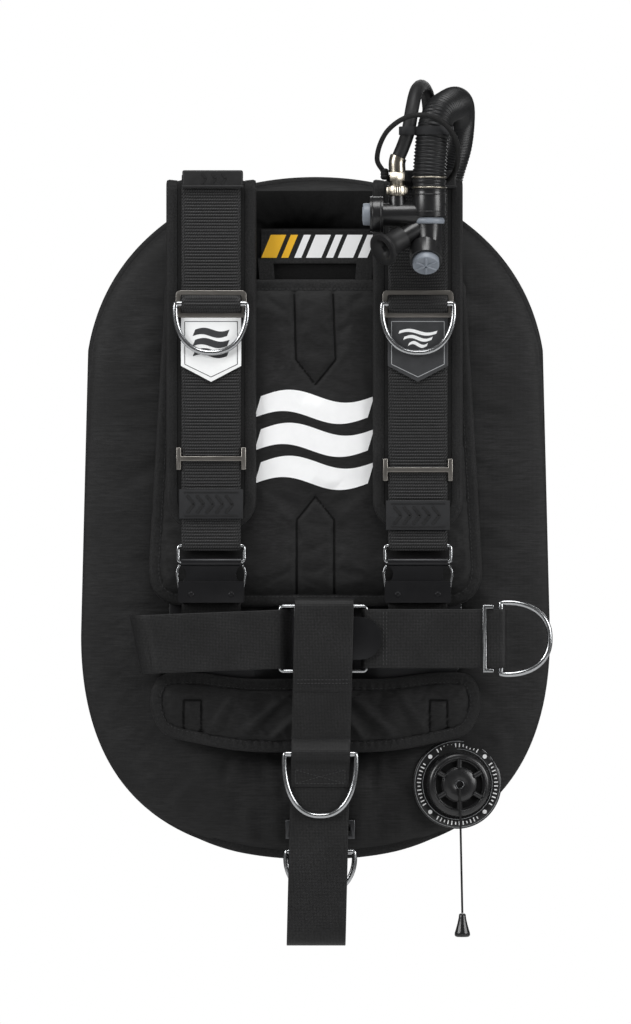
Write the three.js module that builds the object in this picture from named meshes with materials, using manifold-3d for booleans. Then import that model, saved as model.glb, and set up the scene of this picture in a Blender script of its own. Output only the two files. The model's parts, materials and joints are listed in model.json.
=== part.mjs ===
// A single-cylinder diving buoyancy compensator: a donut wing on a steel backplate with an
// adjustable webbing harness. Millimetres, +Z up. The wearer's side faces -Y and the wearer's
// left shoulder is at +X, so a name with "right" is a piece at +X, right for someone facing it.
// The origin is the middle of the pad that the cylinder rests on, halfway between the plate bolts.
import * as THREE from "three";
import { mergeVertices } from "three/addons/utils/BufferGeometryUtils.js";
import Module from "manifold-3d";

const wasm = await Module();
wasm.setup();

// ---------------------------------------------------------------- driving dimensions
const GAP = 0.3; // between pieces that touch
const RUN = 0.5; // radial clearance of a piece that slides or turns

const wing = {
  top: 240,
  bottom: -339,
  shoulderHalfWidth: 194, // half width where the shoulder curve begins
  shoulderZ: 93,
  hipHalfWidth: 200, // half width where the lower curve begins
  hipZ: -150,
  innerHalfWidth: 76, // the flat centre panel inside the ring of the bladder
  innerTop: 198,
  innerBottom: -246,
  frontBulge: 14, // of the ring ahead of the seam plane
  rearBulge: 28,
  seamY: -4.6,
  fabric: 1.5,
  bladderInset: 1.6, // between the shell and the bladder
  topReach: 0.62, // shares that shape the upper curve
  topSide: 0.945,
  topRise: 0.49,
  bottomDrop: 0.55, // shares that shape the lower curve
  bottomReach: 0.77,
  around: 36, // facets round the outline
  across: 6, // facets across the ring
};
const boltSpacing = 279.4; // the 11 inch pattern of backplates
const tankPad = { width: 70, height: 190, corner: 8 };
const plate = {
  halfWidth: 124,
  top: 191,
  bottom: -195,
  steel: 3,
  floorHalfWidth: 30, // the floor of the channel
  wallEndX: 52, // where the channel wall meets the side wing
  channelDepth: 15.4,
  cornerRadius: 30,
  floorGap: 3.3, // room for webbing ends between the channel floor and the wing
};
const webbing = { width: 50, thickness: 2 };
const slotHeight = 6;
const shoulderSlotZ = 166; // plate slots of the shoulder webbing
const lowerSlotZ = -152; // plate slots of the lower straps
const bandSlot = { x: 61, z: 80, width: 7, height: 54 }; // for the two tank bands
const bolt = { shank: 8, head: 16, headHeight: 3.4, hole: 9 };

const backPad = {
  top: 152,
  bottom: -123,
  topHalfWidth: 126,
  bottomHalfWidth: 142,
  thickness: 12.7,
  corner: 34,
};
const lumbarPad = { halfWidth: 139, top: -179, bottom: -247, thickness: 14, radius: 30 };
const shoulder = {
  leftX: -88.4,
  rightX: 86.7,
  padWidth: 74,
  padThickness: 7.6,
  padBottom: -58,
  padCorner: 22,
  padRearBottom: 157,
  foldZ: 229, // height of the fold's centre
  webbingStandoff: 2.6, // room for the slides' rear bars between pad and webbing
  tailLength: 14, // of the webbing behind the plate
};
const ringWire = 4.6;
const shoulderRing = { width: 64.5, depth: 46, z: 132 };
const slider = { width: 60, height: 23, bar: 4, steel: 2 };
const adjuster = { width: 59, height: 19, bar: 4, steel: 2, leftZ: 1, rightZ: -8.5 };
const keeper = {
  width: 54,
  height: 25,
  wall: 1.8,
  drop: 38.5, // below the adjuster's middle
};
const clip = {
  ringWidth: 59,
  ringTop: -72.6, // middle of the upper bar
  ringBottom: -86.6,
  ringWire: 3,
  tongueHalfWidth: 27,
  tongueBottom: -111,
  tongueSteel: 2,
  notchRadius: 8.5,
  notchZ: -97,
  notchOutset: 2.5, // of the notch's centre from the tongue's edge
  tipInset: 3.2,
  tipBelowNotch: 4,
  housingHalfWidth: 28,
  housingTop: -103,
  housingBottom: -121,
  housingDepth: 9,
  barDrop: 13.5, // of the strap's bar below the housing's top
  mouthDepth: 12,
  hollowCover: 6, // material left above the hollow
  wall: 1.6,
  latchWidth: 5,
  latchSteel: 1.7,
};
const belt = {
  z: -151.3,
  leftEnd: -158,
  droopDegrees: 2.2,
  y: -63,
  tuckY: -54.9,
  rearInnerX: 66,
  leftReach: 28, // the left belt's free end, tucked behind the flap
};
const buckle = {
  left: -31.5,
  right: 44.6,
  top: -122.4,
  bottom: -180.4,
  wire: 3,
  crossX: -17,
  flapRight: 56,
  flapTop: -133,
  flapBottom: -169,
  flapSteel: 2.5,
  barrel: 2.9,
  y: -59.4,
};
const waistRing = { depth: 46, width: 64.5, right: 200.6 };
const waistSlide = { x: 143, length: 9, bar: 3, steel: 2 };
const crotch = {
  x: 4,
  loopTop: -117,
  loopSewn: -192,
  loopFrontY: -72,
  loopRearY: -50,
  frontY: -58,
  rearY: -25,
  fold: -412,
  slotZ: -172,
  tabLength: 28,
  rearTabLength: 16,
  loopRadius: 7,
};
const crotchRing = { width: 64.5, depth: 57, z: -249 };
const rearRing = { width: 62, depth: 40, z: -333 };
const crotchSlide = { width: 59, height: 16, bar: 3.6, steel: 2, z: -314 };

const inflator = {
  x: 96,
  y: -80,
  top: 226,
  shoulderZ: 205,
  lowerZ: 182,
  upperRadius: 14,
  lowerRadius: 11,
  armZ: 207,
  armRadius: 9.5,
  housingX: 46,
  housingRadius: 15,
  housingLength: 11,
};
const inflateButton = { radius: 9.3, length: 11, proud: 6 };
const exhaustButton = {
  radius: 11.3,
  back: -1, // distances along its axis
  front: 12,
  housingBack: -9,
  housingFront: 6,
  floor: 3,
  wall: 2.6,
};
const mouth = {
  rollDegrees: 35,
  neckLength: 17,
  neckRadius: 7.5,
  length: 23,
  radius: 9.5,
  bore: 6.5,
  floor: 4,
  flangeHalfWidth: 13,
  flangeHalfHeight: 22,
  flangeThickness: 3,
};
const nipple = { x: 69, radius: 7, top: 222 };
const coupling = {
  radius: 6.2,
  hexRadius: 7.2,
  hexStart: 13,
  length: 20,
  collarRadius: 9,
  collarLength: 8,
  collarStart: 0.7,
};
const hose = { radius: 14.3 };
const lowPressureHose = { radius: 5.85 };
const fitting = { radius: 7.2, length: 16, threadRadius: 4.7, threadLength: 9 };
const hoseBand = { z: 277.5, height: 7, wall: 2 };
const bungee = { radius: 2.15, knot: 3.6 };
const elbow = {
  x: 110,
  y: 42,
  z: 192,
  radius: 13,
  rise: 21,
  stem: 9,
  flange: 18,
  flangeThickness: 2,
};

const valve = {
  x: 120.5,
  z: -275.8,
  tiltDegrees: 8,
  sink: 0.6, // of the flange below the crest of the wing
  flangeRadius: 38,
  flangeThickness: 2,
  capRadius: 27,
  capHeight: 12,
  capWall: 2.2,
  hubRadius: 14.5,
  slotOuter: 21,
  slots: 6,
  slotDegrees: 42,
  throatDepth: 13, // how far the throat reaches into the wing
  eyelet: 2.2,
  stemRadius: 2,
  plungerRadius: 9,
  plungerTravel: 3,
};
const pullCord = { radius: 0.9, drop: 2.5, bottom: -385, lean: 2.2 };
const pullKnob = { length: 20, topRadius: 3.25, bottomRadius: 6.75 };

// ---------------------------------------------------------------- levels worked out from them
const boltZ = boltSpacing / 2;
const panelFrontY = wing.seamY - GAP / 2 - wing.fabric;
const panelRearY = wing.seamY + GAP / 2 + wing.fabric;
const floorRearY = panelFrontY - plate.floorGap;
const floorFrontY = floorRearY - plate.steel;
const sideRearY = floorRearY - plate.channelDepth;
const sideFrontY = sideRearY - plate.steel;
const padRearY = sideFrontY - GAP;
const backPadFrontY = padRearY - backPad.thickness;
// Where the webbing climbs the plate to the fold.
const webRearY = sideFrontY - GAP - webbing.thickness / 2;
const rearLegY = webRearY - webbing.thickness / 2 - GAP - shoulder.padThickness / 2;
const frontLegY = backPadFrontY - 1 - shoulder.padThickness / 2;
const padFrontY = frontLegY - shoulder.padThickness / 2;
const webY = padFrontY - shoulder.webbingStandoff - webbing.thickness / 2;
const webFrontY = webY - webbing.thickness / 2;
const webBackY = webY + webbing.thickness / 2;
const tailY = sideRearY + GAP + webbing.thickness / 2; // webbing ends behind the side wings
const beltTailY = tailY + webbing.thickness + GAP;
const wireRadius = ringWire / 2;

// ---------------------------------------------------------------- small tools
const deg = THREE.MathUtils.degToRad;
const v3 = (x, y, z) => new THREE.Vector3(x, y, z);

function solidOf(geometry) {
  const bare = geometry.index ? geometry.toNonIndexed() : geometry.clone();
  bare.deleteAttribute("normal");
  bare.deleteAttribute("uv");
  const merged = mergeVertices(bare, 1e-4);
  return new wasm.Manifold(
    new wasm.Mesh({
      numProp: 3,
      vertProperties: merged.attributes.position.array,
      triVerts: new Uint32Array(merged.index.array),
    }),
  );
}

function geometryOf(solid) {
  const mesh = solid.getMesh();
  const positions = new Float32Array(mesh.numVert * 3);
  for (let i = 0; i < mesh.numVert; i += 1) {
    const start = i * mesh.numProp;
    positions.set(mesh.vertProperties.subarray(start, start + 3), i * 3);
  }
  const geometry = new THREE.BufferGeometry();
  geometry.setAttribute("position", new THREE.BufferAttribute(positions, 3));
  geometry.setIndex(new THREE.BufferAttribute(new Uint32Array(mesh.triVerts), 1));
  return geometry;
}

const join = (...solids) => solids.reduce((all, next) => all.add(next));
const cut = (body, ...tools) => tools.reduce((rest, tool) => rest.subtract(tool), body);

function shapeOf(points) {
  return new THREE.Shape(points.map(([a, b]) => new THREE.Vector2(a, b)));
}

function extruded(shape, depth) {
  return new THREE.ExtrudeGeometry(shape, { depth, bevelEnabled: false, curveSegments: 6 });
}

// A drawing in (x, z), thick from yBack forward to yFront.
function slabY(shape, yFront, yBack) {
  const geometry = extruded(shape, yBack - yFront);
  geometry.rotateX(Math.PI / 2);
  geometry.translate(0, yBack, 0);
  return solidOf(geometry);
}

// A drawing in (y, z), from x0 to x1.
function slabX(shape, x0, x1) {
  const geometry = extruded(shape, x1 - x0);
  geometry.applyMatrix4(new THREE.Matrix4().makeBasis(v3(0, 1, 0), v3(0, 0, 1), v3(1, 0, 0)));
  geometry.translate(x0, 0, 0);
  return solidOf(geometry);
}

// A drawing in (x, y), from z0 to z1.
function slabZ(shape, z0, z1) {
  const geometry = extruded(shape, z1 - z0);
  geometry.translate(0, 0, z0);
  return solidOf(geometry);
}

function box([x0, x1], [y0, y1], [z0, z1]) {
  const geometry = new THREE.BoxGeometry(x1 - x0, y1 - y0, z1 - z0);
  geometry.translate((x0 + x1) / 2, (y0 + y1) / 2, (z0 + z1) / 2);
  return solidOf(geometry);
}

// A round bar between two points; a second radius makes it taper.
function rod(from, to, radius, sides = 16, endRadius = radius) {
  const axis = new THREE.Vector3().subVectors(to, from);
  const geometry = new THREE.CylinderGeometry(endRadius, radius, axis.length(), sides);
  geometry.translate(0, axis.length() / 2, 0);
  const turn = new THREE.Quaternion().setFromUnitVectors(v3(0, 1, 0), axis.clone().normalize());
  geometry.applyQuaternion(turn);
  geometry.translate(from.x, from.y, from.z);
  return solidOf(geometry);
}

function polygon(radius, sides) {
  const corners = [];
  for (let i = 0; i < sides; i += 1) {
    const angle = (2 * Math.PI * i) / sides;
    corners.push([radius * Math.cos(angle), radius * Math.sin(angle)]);
  }
  return shapeOf(corners);
}

function tube(curve, radius, sides, steps) {
  const options = { extrudePath: curve, steps, bevelEnabled: false };
  return solidOf(new THREE.ExtrudeGeometry(polygon(radius, sides), options));
}

function roundedBox(x0, x1, z0, z1, radius) {
  const shape = new THREE.Shape();
  shape.moveTo(x0 + radius, z0);
  shape.lineTo(x1 - radius, z0);
  shape.absarc(x1 - radius, z0 + radius, radius, -Math.PI / 2, 0);
  shape.lineTo(x1, z1 - radius);
  shape.absarc(x1 - radius, z1 - radius, radius, 0, Math.PI / 2);
  shape.lineTo(x0 + radius, z1);
  shape.absarc(x0 + radius, z1 - radius, radius, Math.PI / 2, Math.PI);
  shape.lineTo(x0, z0 + radius);
  shape.absarc(x0 + radius, z0 + radius, radius, Math.PI, Math.PI * 1.5);
  return shape;
}

// The points of a half turn from start angle to end angle, both in degrees.
function arc(a, b, radius, start, end, steps) {
  const points = [];
  for (let i = 0; i <= steps; i += 1) {
    const angle = deg(start + ((end - start) * i) / steps);
    points.push([a + radius * Math.cos(angle), b + radius * Math.sin(angle)]);
  }
  return points;
}

// A strip of even thickness along a polyline, as a closed outline with mitred corners.
function ribbon(points, thickness) {
  const side = (sign) =>
    points.map(([a, b], i) => {
      const before = points[Math.max(i - 1, 0)];
      const after = points[Math.min(i + 1, points.length - 1)];
      const inward = new THREE.Vector2(a - before[0], b - before[1]);
      const outward = new THREE.Vector2(after[0] - a, after[1] - b);
      if (i === 0) {
        inward.copy(outward);
      }
      if (i === points.length - 1) {
        outward.copy(inward);
      }
      inward.normalize();
      outward.normalize();
      const middle = new THREE.Vector2(-inward.y - outward.y, inward.x + outward.x).normalize();
      const reach = thickness / 2 / (middle.x * -inward.y + middle.y * inward.x);
      return [a + sign * reach * middle.x, b + sign * reach * middle.y];
    });
  return shapeOf([...side(1), ...side(-1).reverse()]);
}

// ---------------------------------------------------------------- materials
function material(color, roughness, metalness = 0) {
  return new THREE.MeshStandardMaterial({ color, roughness, metalness });
}
const cordura = material(0x1b1b1c, 0.9);
const bladderFilm = material(0x3a3f45, 0.6);
const padFabric = material(0x1e1e1f, 0.95);
const webbingFabric = material(0x222223, 0.85);
const steel = material(0xb9bcc0, 0.25, 1);
const darkSteel = material(0x6f7276, 0.35, 1);
const titanium = material(0x9d978c, 0.35, 1);
const blackMetal = material(0x17171a, 0.35, 0.6);
const rubber = material(0x2b2c2e, 0.7);
const blackPlastic = material(0x18181a, 0.45);
const greyPlastic = material(0x8d939c, 0.45);
const nickel = material(0xc9c3b4, 0.25, 1);
const cordFabric = material(0x1a1a1a, 0.8);

const group = new THREE.Group();
const solids = {};
function place(name, solid, look) {
  solids[name] = solid;
  const mesh = new THREE.Mesh(geometryOf(solid), look);
  mesh.name = name;
  group.add(mesh);
}

// ---------------------------------------------------------------- wing
// The outline, as the same number of points for the outside and the inner edge of the ring.
function wingOutline(top, bottom, upperHalf, upperZ, lowerHalf, lowerZ) {
  const half = new THREE.Path();
  half.moveTo(0, top);
  const shoulderZ = upperZ + (top - upperZ) * wing.topRise;
  const hipZ = lowerZ + (bottom - lowerZ) * wing.bottomDrop;
  const shoulderHalf = upperHalf * wing.topSide;
  half.bezierCurveTo(upperHalf * wing.topReach, top, shoulderHalf, shoulderZ, upperHalf, upperZ);
  half.lineTo(lowerHalf, lowerZ);
  half.bezierCurveTo(lowerHalf, hipZ, lowerHalf * wing.bottomReach, bottom, 0, bottom);
  const points = half.getSpacedPoints(wing.around / 2);
  const right = points.slice(1, -1).map((p) => [p.x, p.y]);
  const left = right.map(([x, z]) => [-x, z]).reverse();
  return [[0, top], ...right, [0, bottom], ...left];
}

const outerEdge = wingOutline(
  wing.top,
  wing.bottom,
  wing.shoulderHalfWidth,
  wing.shoulderZ,
  wing.hipHalfWidth,
  wing.hipZ,
);
const innerEdge = wingOutline(
  wing.innerTop,
  wing.innerBottom,
  wing.innerHalfWidth,
  wing.innerTop - wing.innerHalfWidth,
  wing.innerHalfWidth,
  wing.innerBottom + wing.innerHalfWidth,
);

const swell = (share) => Math.sqrt(Math.max(0, 1 - (2 * share - 1) ** 2));

// A point of the ring: share 0 is the outer seam and share 1 the inner one.
function ringPoint(i, share, y) {
  const [x0, z0] = outerEdge[i % wing.around];
  const [x1, z1] = innerEdge[i % wing.around];
  return v3(x0 + (x1 - x0) * share, y, z0 + (z1 - z0) * share);
}

// Closed surface from rows of points, each row a loop round the wing; the rows may close on
// themselves.
function loft(rows, closeRows, caps) {
  const positions = [];
  const triangle = (a, b, c) => positions.push(a.x, a.y, a.z, b.x, b.y, b.z, c.x, c.y, c.z);
  const last = closeRows ? rows.length : rows.length - 1;
  for (let r = 0; r < last; r += 1) {
    const next = rows[(r + 1) % rows.length];
    for (let i = 0; i < wing.around; i += 1) {
      const j = (i + 1) % wing.around;
      triangle(rows[r][i], next[i], rows[r][j]);
      triangle(rows[r][j], next[i], next[j]);
    }
  }
  caps.forEach(({ row, centre, flip }) => {
    for (let i = 0; i < wing.around; i += 1) {
      const j = (i + 1) % wing.around;
      const [a, b] = flip ? [row[j], row[i]] : [row[i], row[j]];
      triangle(centre, b, a);
    }
  });
  const geometry = new THREE.BufferGeometry();
  geometry.setAttribute("position", new THREE.Float32BufferAttribute(positions, 3));
  return geometry;
}

function outward(geometry) {
  const solid = solidOf(geometry);
  if (solid.volume() >= 0) {
    return solid;
  }
  const source = geometry.attributes.position.array;
  const flipped = new Float32Array(source.length);
  for (let i = 0; i < source.length; i += 9) {
    flipped.set(source.subarray(i, i + 3), i);
    flipped.set(source.subarray(i + 6, i + 9), i + 3);
    flipped.set(source.subarray(i + 3, i + 6), i + 6);
  }
  const turned = new THREE.BufferGeometry();
  turned.setAttribute("position", new THREE.Float32BufferAttribute(flipped, 3));
  return solidOf(turned);
}

// One fabric shell of the wing: direction -1 is the wearer's side, +1 the cylinder's.
function wingShell(direction, bulge) {
  const rows = [];
  const level = (share, skin) => wing.seamY + direction * (GAP / 2 + bulge * swell(share) + skin);
  const row = (share, skin) => outerEdge.map((_, i) => ringPoint(i, share, level(share, skin)));
  for (let s = wing.across; s >= 0; s -= 1) {
    rows.push(row(s / wing.across, wing.fabric));
  }
  for (let s = 0; s <= wing.across; s += 1) {
    rows.push(row(s / wing.across, 0));
  }
  const middle = (wing.innerTop + wing.innerBottom) / 2;
  const caps = [
    { row: rows[0], centre: v3(0, level(1, wing.fabric), middle), flip: true },
    { row: rows[rows.length - 1], centre: v3(0, level(1, 0), middle), flip: false },
  ];
  return outward(loft(rows, false, caps));
}

function wingBladder() {
  const rows = [];
  const row = (step, direction, bulge) => {
    const share = step / wing.across;
    const y = wing.seamY + direction * (bulge * swell(share) - wing.bladderInset);
    return outerEdge.map((_, i) => ringPoint(i, share, y));
  };
  for (let s = 1; s < wing.across; s += 1) {
    rows.push(row(s, -1, wing.frontBulge));
  }
  for (let s = wing.across - 1; s > 0; s -= 1) {
    rows.push(row(s, 1, wing.rearBulge));
  }
  return outward(loft(rows, true, []));
}

function boltHoles(radius, yFront, yBack) {
  return [-1, 1].map((s) => rod(v3(0, yFront, s * boltZ), v3(0, yBack, s * boltZ), radius, 12));
}

function bandSlots(yFront, yBack) {
  const cuts = [];
  for (const sx of [-1, 1]) {
    for (const sz of [-1, 1]) {
      const x = sx * bandSlot.x;
      const z = sz * bandSlot.z;
      const xs = [x - bandSlot.width / 2, x + bandSlot.width / 2];
      const zs = [z - bandSlot.height / 2, z + bandSlot.height / 2];
      cuts.push(box(xs, [yFront, yBack], zs));
    }
  }
  return cuts;
}

// ---------------------------------------------------------------- elbow and dump valve seats
const stemInside = 5; // how far the elbow's stem reaches into the wing
const elbowInnerY = wing.seamY + wing.rearBulge - stemInside;
function elbowStem(clearance) {
  const from = v3(elbow.x, elbowInnerY - clearance, elbow.z);
  return rod(from, v3(elbow.x, elbow.y, elbow.z), elbow.stem + clearance, 16);
}

const valveAxis = v3(Math.sin(deg(valve.tiltDegrees)), -Math.cos(deg(valve.tiltDegrees)), 0);
const valveSeat = v3(valve.x, wing.seamY - wing.frontBulge + valve.sink, valve.z);
const onValve = (height) => valveSeat.clone().addScaledVector(valveAxis, height);
const valveRod = (from, to, radius, sides = 24) => rod(onValve(from), onValve(to), radius, sides);
const throatInner = -valve.throatDepth;
const clearOfWing = 20; // past the wing's skin on either side of a cut

const valveSeatCut = () =>
  valveRod(throatInner - GAP, clearOfWing, valve.flangeRadius + RUN, 32);

const openPanel = (shell) =>
  cut(
    shell,
    ...boltHoles(bolt.hole / 2, -2 * clearOfWing, clearOfWing),
    ...bandSlots(-2 * clearOfWing, clearOfWing),
  );

place(
  "wing_front_panel",
  cut(openPanel(wingShell(-1, wing.frontBulge)), valveSeatCut()),
  cordura,
);
place("wing_rear_panel", cut(openPanel(wingShell(1, wing.rearBulge)), elbowStem(GAP)), cordura);
place(
  "wing_bladder",
  cut(wingBladder(), elbowStem(GAP), valveSeatCut()),
  bladderFilm,
);

// ---------------------------------------------------------------- backplate, bolts and pads
function platePolyline() {
  const floorY = (floorFrontY + floorRearY) / 2;
  const sideY = (sideFrontY + sideRearY) / 2;
  return [
    [-plate.halfWidth - 1, sideY],
    [-plate.wallEndX, sideY],
    [-plate.floorHalfWidth, floorY],
    [plate.floorHalfWidth, floorY],
    [plate.wallEndX, sideY],
    [plate.halfWidth + 1, sideY],
  ];
}

function strapSlot(x, z) {
  const halfWidth = webbing.width / 2 + 1;
  const zs = [z - slotHeight / 2, z + slotHeight / 2];
  return box([x - halfWidth, x + halfWidth], [-3 * clearOfWing, clearOfWing], zs);
}

function backplate() {
  const bent = slabZ(ribbon(platePolyline(), plate.steel), plate.bottom - 1, plate.top + 1);
  const { halfWidth, bottom, top, cornerRadius } = plate;
  const outline = roundedBox(-halfWidth, halfWidth, bottom, top, cornerRadius);
  const body = bent.intersect(slabY(outline, -3 * clearOfWing, clearOfWing));
  const slots = [shoulder.leftX, shoulder.rightX].flatMap((x) => [
    strapSlot(x, shoulderSlotZ),
    strapSlot(x, lowerSlotZ),
  ]);
  return cut(
    body,
    ...slots,
    strapSlot(crotch.x, crotch.slotZ),
    ...boltHoles(bolt.hole / 2, -3 * clearOfWing, clearOfWing),
    ...bandSlots(-3 * clearOfWing, clearOfWing),
  );
}

function plateBolt(z) {
  const nutFront = panelRearY + GAP;
  const headRear = floorFrontY - GAP;
  const at = (y) => v3(0, y, z);
  return join(
    rod(at(headRear - bolt.headHeight), at(headRear), bolt.head / 2, 16),
    rod(at(headRear - 1), at(nutFront + 1), bolt.shank / 2, 12),
    rod(at(floorRearY + GAP), at(panelFrontY - GAP), bolt.head / 2 - 1, 12),
    rod(at(nutFront), at(nutFront + 2), bolt.head / 2, 6),
  );
}

place("tank_pad", tankPadSolid(), rubber);
place("backplate", backplate(), steel);
place("plate_bolt_upper", plateBolt(boltZ), steel);
place("plate_bolt_lower", plateBolt(-boltZ), steel);

function tankPadSolid() {
  const halfWidth = tankPad.width / 2;
  const halfHeight = tankPad.height / 2;
  const slab = roundedBox(-halfWidth, halfWidth, -halfHeight, halfHeight, tankPad.corner);
  return slabY(slab, panelRearY + GAP, 0);
}

function backPadSolid() {
  const { top, bottom, topHalfWidth: upper, bottomHalfWidth: lower, corner } = backPad;
  const shape = new THREE.Shape();
  shape.moveTo(-upper, top);
  shape.lineTo(-lower, bottom + corner);
  shape.quadraticCurveTo(-lower, bottom, -lower + corner, bottom);
  shape.lineTo(lower - corner, bottom);
  shape.quadraticCurveTo(lower, bottom, lower, bottom + corner);
  shape.lineTo(upper, top);
  return slabY(shape, backPadFrontY, padRearY);
}

place("back_pad", backPadSolid(), padFabric);

function lumbarPadSolid() {
  const { halfWidth, bottom, top, radius, thickness } = lumbarPad;
  const outline = roundedBox(-halfWidth, halfWidth, bottom, top, radius);
  return slabY(outline, padRearY - thickness, padRearY);
}
place("lumbar_pad", lumbarPadSolid(), padFabric);

// ---------------------------------------------------------------- D-rings and slides
// A D-ring in its own frame: the straight bar lies along x through the origin, the bow hangs to -z.
const bow = {
  start: 0.6, // inside the bar's end
  bellyOut: 2.5,
  bellyDrop: 0.396, // shares of the ring's depth
  tipIn: 5,
  tipDrop: 1.02,
};
function dRing(width, depth) {
  const half = width / 2 - wireRadius;
  const drop = depth - 2 * wireRadius;
  const side = (s) => [
    v3(s * (half - bow.start), 0, 0),
    v3(s * (half + bow.bellyOut), 0, -drop * bow.bellyDrop),
    v3(s * (half - bow.tipIn), 0, -drop * bow.tipDrop),
    v3(0, 0, -drop),
  ];
  const down = new THREE.CubicBezierCurve3(...side(-1));
  const up = new THREE.CubicBezierCurve3(...side(1).reverse());
  const bend = new THREE.CatmullRomCurve3([...down.getPoints(8), ...up.getPoints(8).slice(1)]);
  return join(
    tube(bend, wireRadius, 8, 16),
    rod(v3(-half, 0, 0), v3(half, 0, 0), wireRadius, 8),
  );
}

// A three-bar slide standing upright: outer bars at both ends and one middle bar, flat steel.
function flatSlide(width, height, bar, yFront, yBack) {
  const frame = roundedBox(-width / 2, width / 2, -height / 2, height / 2, 4);
  const inside = webbing.width / 2 + 0.6;
  const windowHeight = (height - 3 * bar) / 2;
  const window = (z) => box([-inside, inside], [yFront - 1, yBack + 1], [z, z + windowHeight]);
  return cut(slabY(frame, yFront, yBack), window(bar / 2), window(-bar / 2 - windowHeight));
}

// A slide whose front bars and rear bar lie on the two sides of a straight strap.
function straddleSlide(width, height, bar, thickness, frontZs, rearZs) {
  const front = webFrontY - GAP - thickness;
  const back = webBackY + GAP + thickness;
  const inside = webbing.width / 2 + RUN;
  const side = (s) => {
    const sides = [s * inside, (s * width) / 2].sort((a, b) => a - b);
    return box(sides, [front, back], [-height / 2, height / 2]);
  };
  const barAt = (z, y0, y1) => box([-inside - 1, inside + 1], [y0, y1], [z - bar / 2, z + bar / 2]);
  return join(
    side(-1),
    side(1),
    ...frontZs.map((z) => barAt(z, front, front + thickness)),
    ...rearZs.map((z) => barAt(z, back - thickness, back)),
  );
}

// ---------------------------------------------------------------- one shoulder of the harness
const foldY = (webRearY + webY) / 2;
const foldRadius = (webRearY - webY) / 2;
const sliderFrontY = webFrontY - GAP - slider.steel;
const ringY = sliderFrontY - GAP - wireRadius;
const humpY = ringY - wireRadius - GAP - webbing.thickness / 2 - 0.2;
const clipRingRadius = clip.ringWire / 2;
const squareCorner = 1.42; // a flattened wire's corner, as a share of its half width
const clipLoop = clipRingRadius * squareCorner + GAP + webbing.thickness / 2;
const clipY = webY + clipLoop;

function shoulderWebbing(x) {
  const z = shoulderRing.z;
  const humpHalf = wireRadius + webbing.thickness + 0.1;
  const path = [
    [tailY, shoulderSlotZ - shoulder.tailLength],
    [tailY, shoulderSlotZ],
    [webRearY, shoulderSlotZ],
    [webRearY, shoulder.foldZ - 1],
    ...arc(foldY, shoulder.foldZ, foldRadius, 0, 180, 8),
    [webY, z + humpHalf],
    [humpY, z + humpHalf],
    [humpY, z - humpHalf],
    [webY, z - humpHalf],
    ...arc(clipY, clip.ringTop, clipLoop, 180, 360, 6),
    [clipY + clipLoop, clip.ringTop + 11],
  ];
  const half = webbing.width / 2;
  return slabX(ribbon(path, webbing.thickness), x - half, x + half);
}

function shoulderPad(x) {
  const middle = (rearLegY + frontLegY) / 2;
  const radius = (rearLegY - frontLegY) / 2;
  const path = [
    [rearLegY, shoulder.padRearBottom],
    ...arc(middle, shoulder.foldZ, radius, 0, 180, 6),
    [frontLegY, shoulder.padBottom],
  ];
  const half = shoulder.padWidth / 2;
  const strip = slabX(ribbon(path, shoulder.padThickness), x - half, x + half);
  const top = shoulder.foldZ + 2 * radius + shoulder.padThickness;
  const side = half + 0.1; // just off the strip's own sides
  const outline = roundedBox(x - side, x + side, shoulder.padBottom, top, shoulder.padCorner);
  return strip.intersect(slabY(outline, frontLegY - shoulder.padThickness, 0));
}

function rectangleWire(x0, x1, z0, z1, radius, y) {
  const outer = roundedBox(x0 - radius, x1 + radius, z0 - radius, z1 + radius, 3.5);
  const inner = roundedBox(x0 + radius, x1 - radius, z0 + radius, z1 - radius, 1.5);
  return cut(slabY(outer, y - radius, y + radius), slabY(inner, y - radius - 1, y + radius + 1));
}

function clipRing(x) {
  const half = clip.ringWidth / 2 - clipRingRadius;
  return rectangleWire(x - half, x + half, clip.ringBottom, clip.ringTop, clipRingRadius, clipY);
}

// The tongue: its upper edge is curled round the ring's lower bar.
function clipTongue(x) {
  const half = clip.tongueHalfWidth;
  const ringHole = clipRingRadius * squareCorner + GAP;
  const curl = ringHole + 1.2;
  const front = clipY - clip.tongueSteel / 2;
  const plateShape = roundedBox(x - half, x + half, clip.tongueBottom, clip.ringBottom, 2);
  const blank = slabY(plateShape, front, front + clip.tongueSteel);
  const inside = clip.ringWidth / 2 - clip.ringWire - 1;
  const onBar = (reach) => v3(x + reach, clipY, clip.ringBottom);
  const barrel = rod(onBar(-inside), onBar(inside), curl, 16);
  const bore = rod(onBar(-half - 5), onBar(half + 5), ringHole, 16);
  const through = [clipY - 3, clipY + 3];
  const beyond = half + clip.notchRadius;
  const trim = (s, from, zs) => {
    const xs = [x + s * from, x + s * beyond].sort((a, b) => a - b);
    return box(xs, through, zs);
  };
  const trims = [-1, 1].flatMap((s) => [
    trim(s, half - clip.tipInset, [clip.tongueBottom - 1, clip.notchZ - clip.tipBelowNotch]),
    trim(s, inside, [clip.ringBottom - clip.tipInset, clip.ringTop]),
    trim(s, 0, [clip.ringBottom, clip.ringTop + clip.ringWire]),
  ]);
  const notches = [-1, 1].map((s) => {
    const notchX = x + s * (half + clip.notchOutset);
    const at = (y) => v3(notchX, y, clip.notchZ);
    return rod(at(through[0]), at(through[1]), clip.notchRadius, 20);
  });
  return cut(join(cut(blank, ...notches, ...trims), barrel), bore);
}

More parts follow.
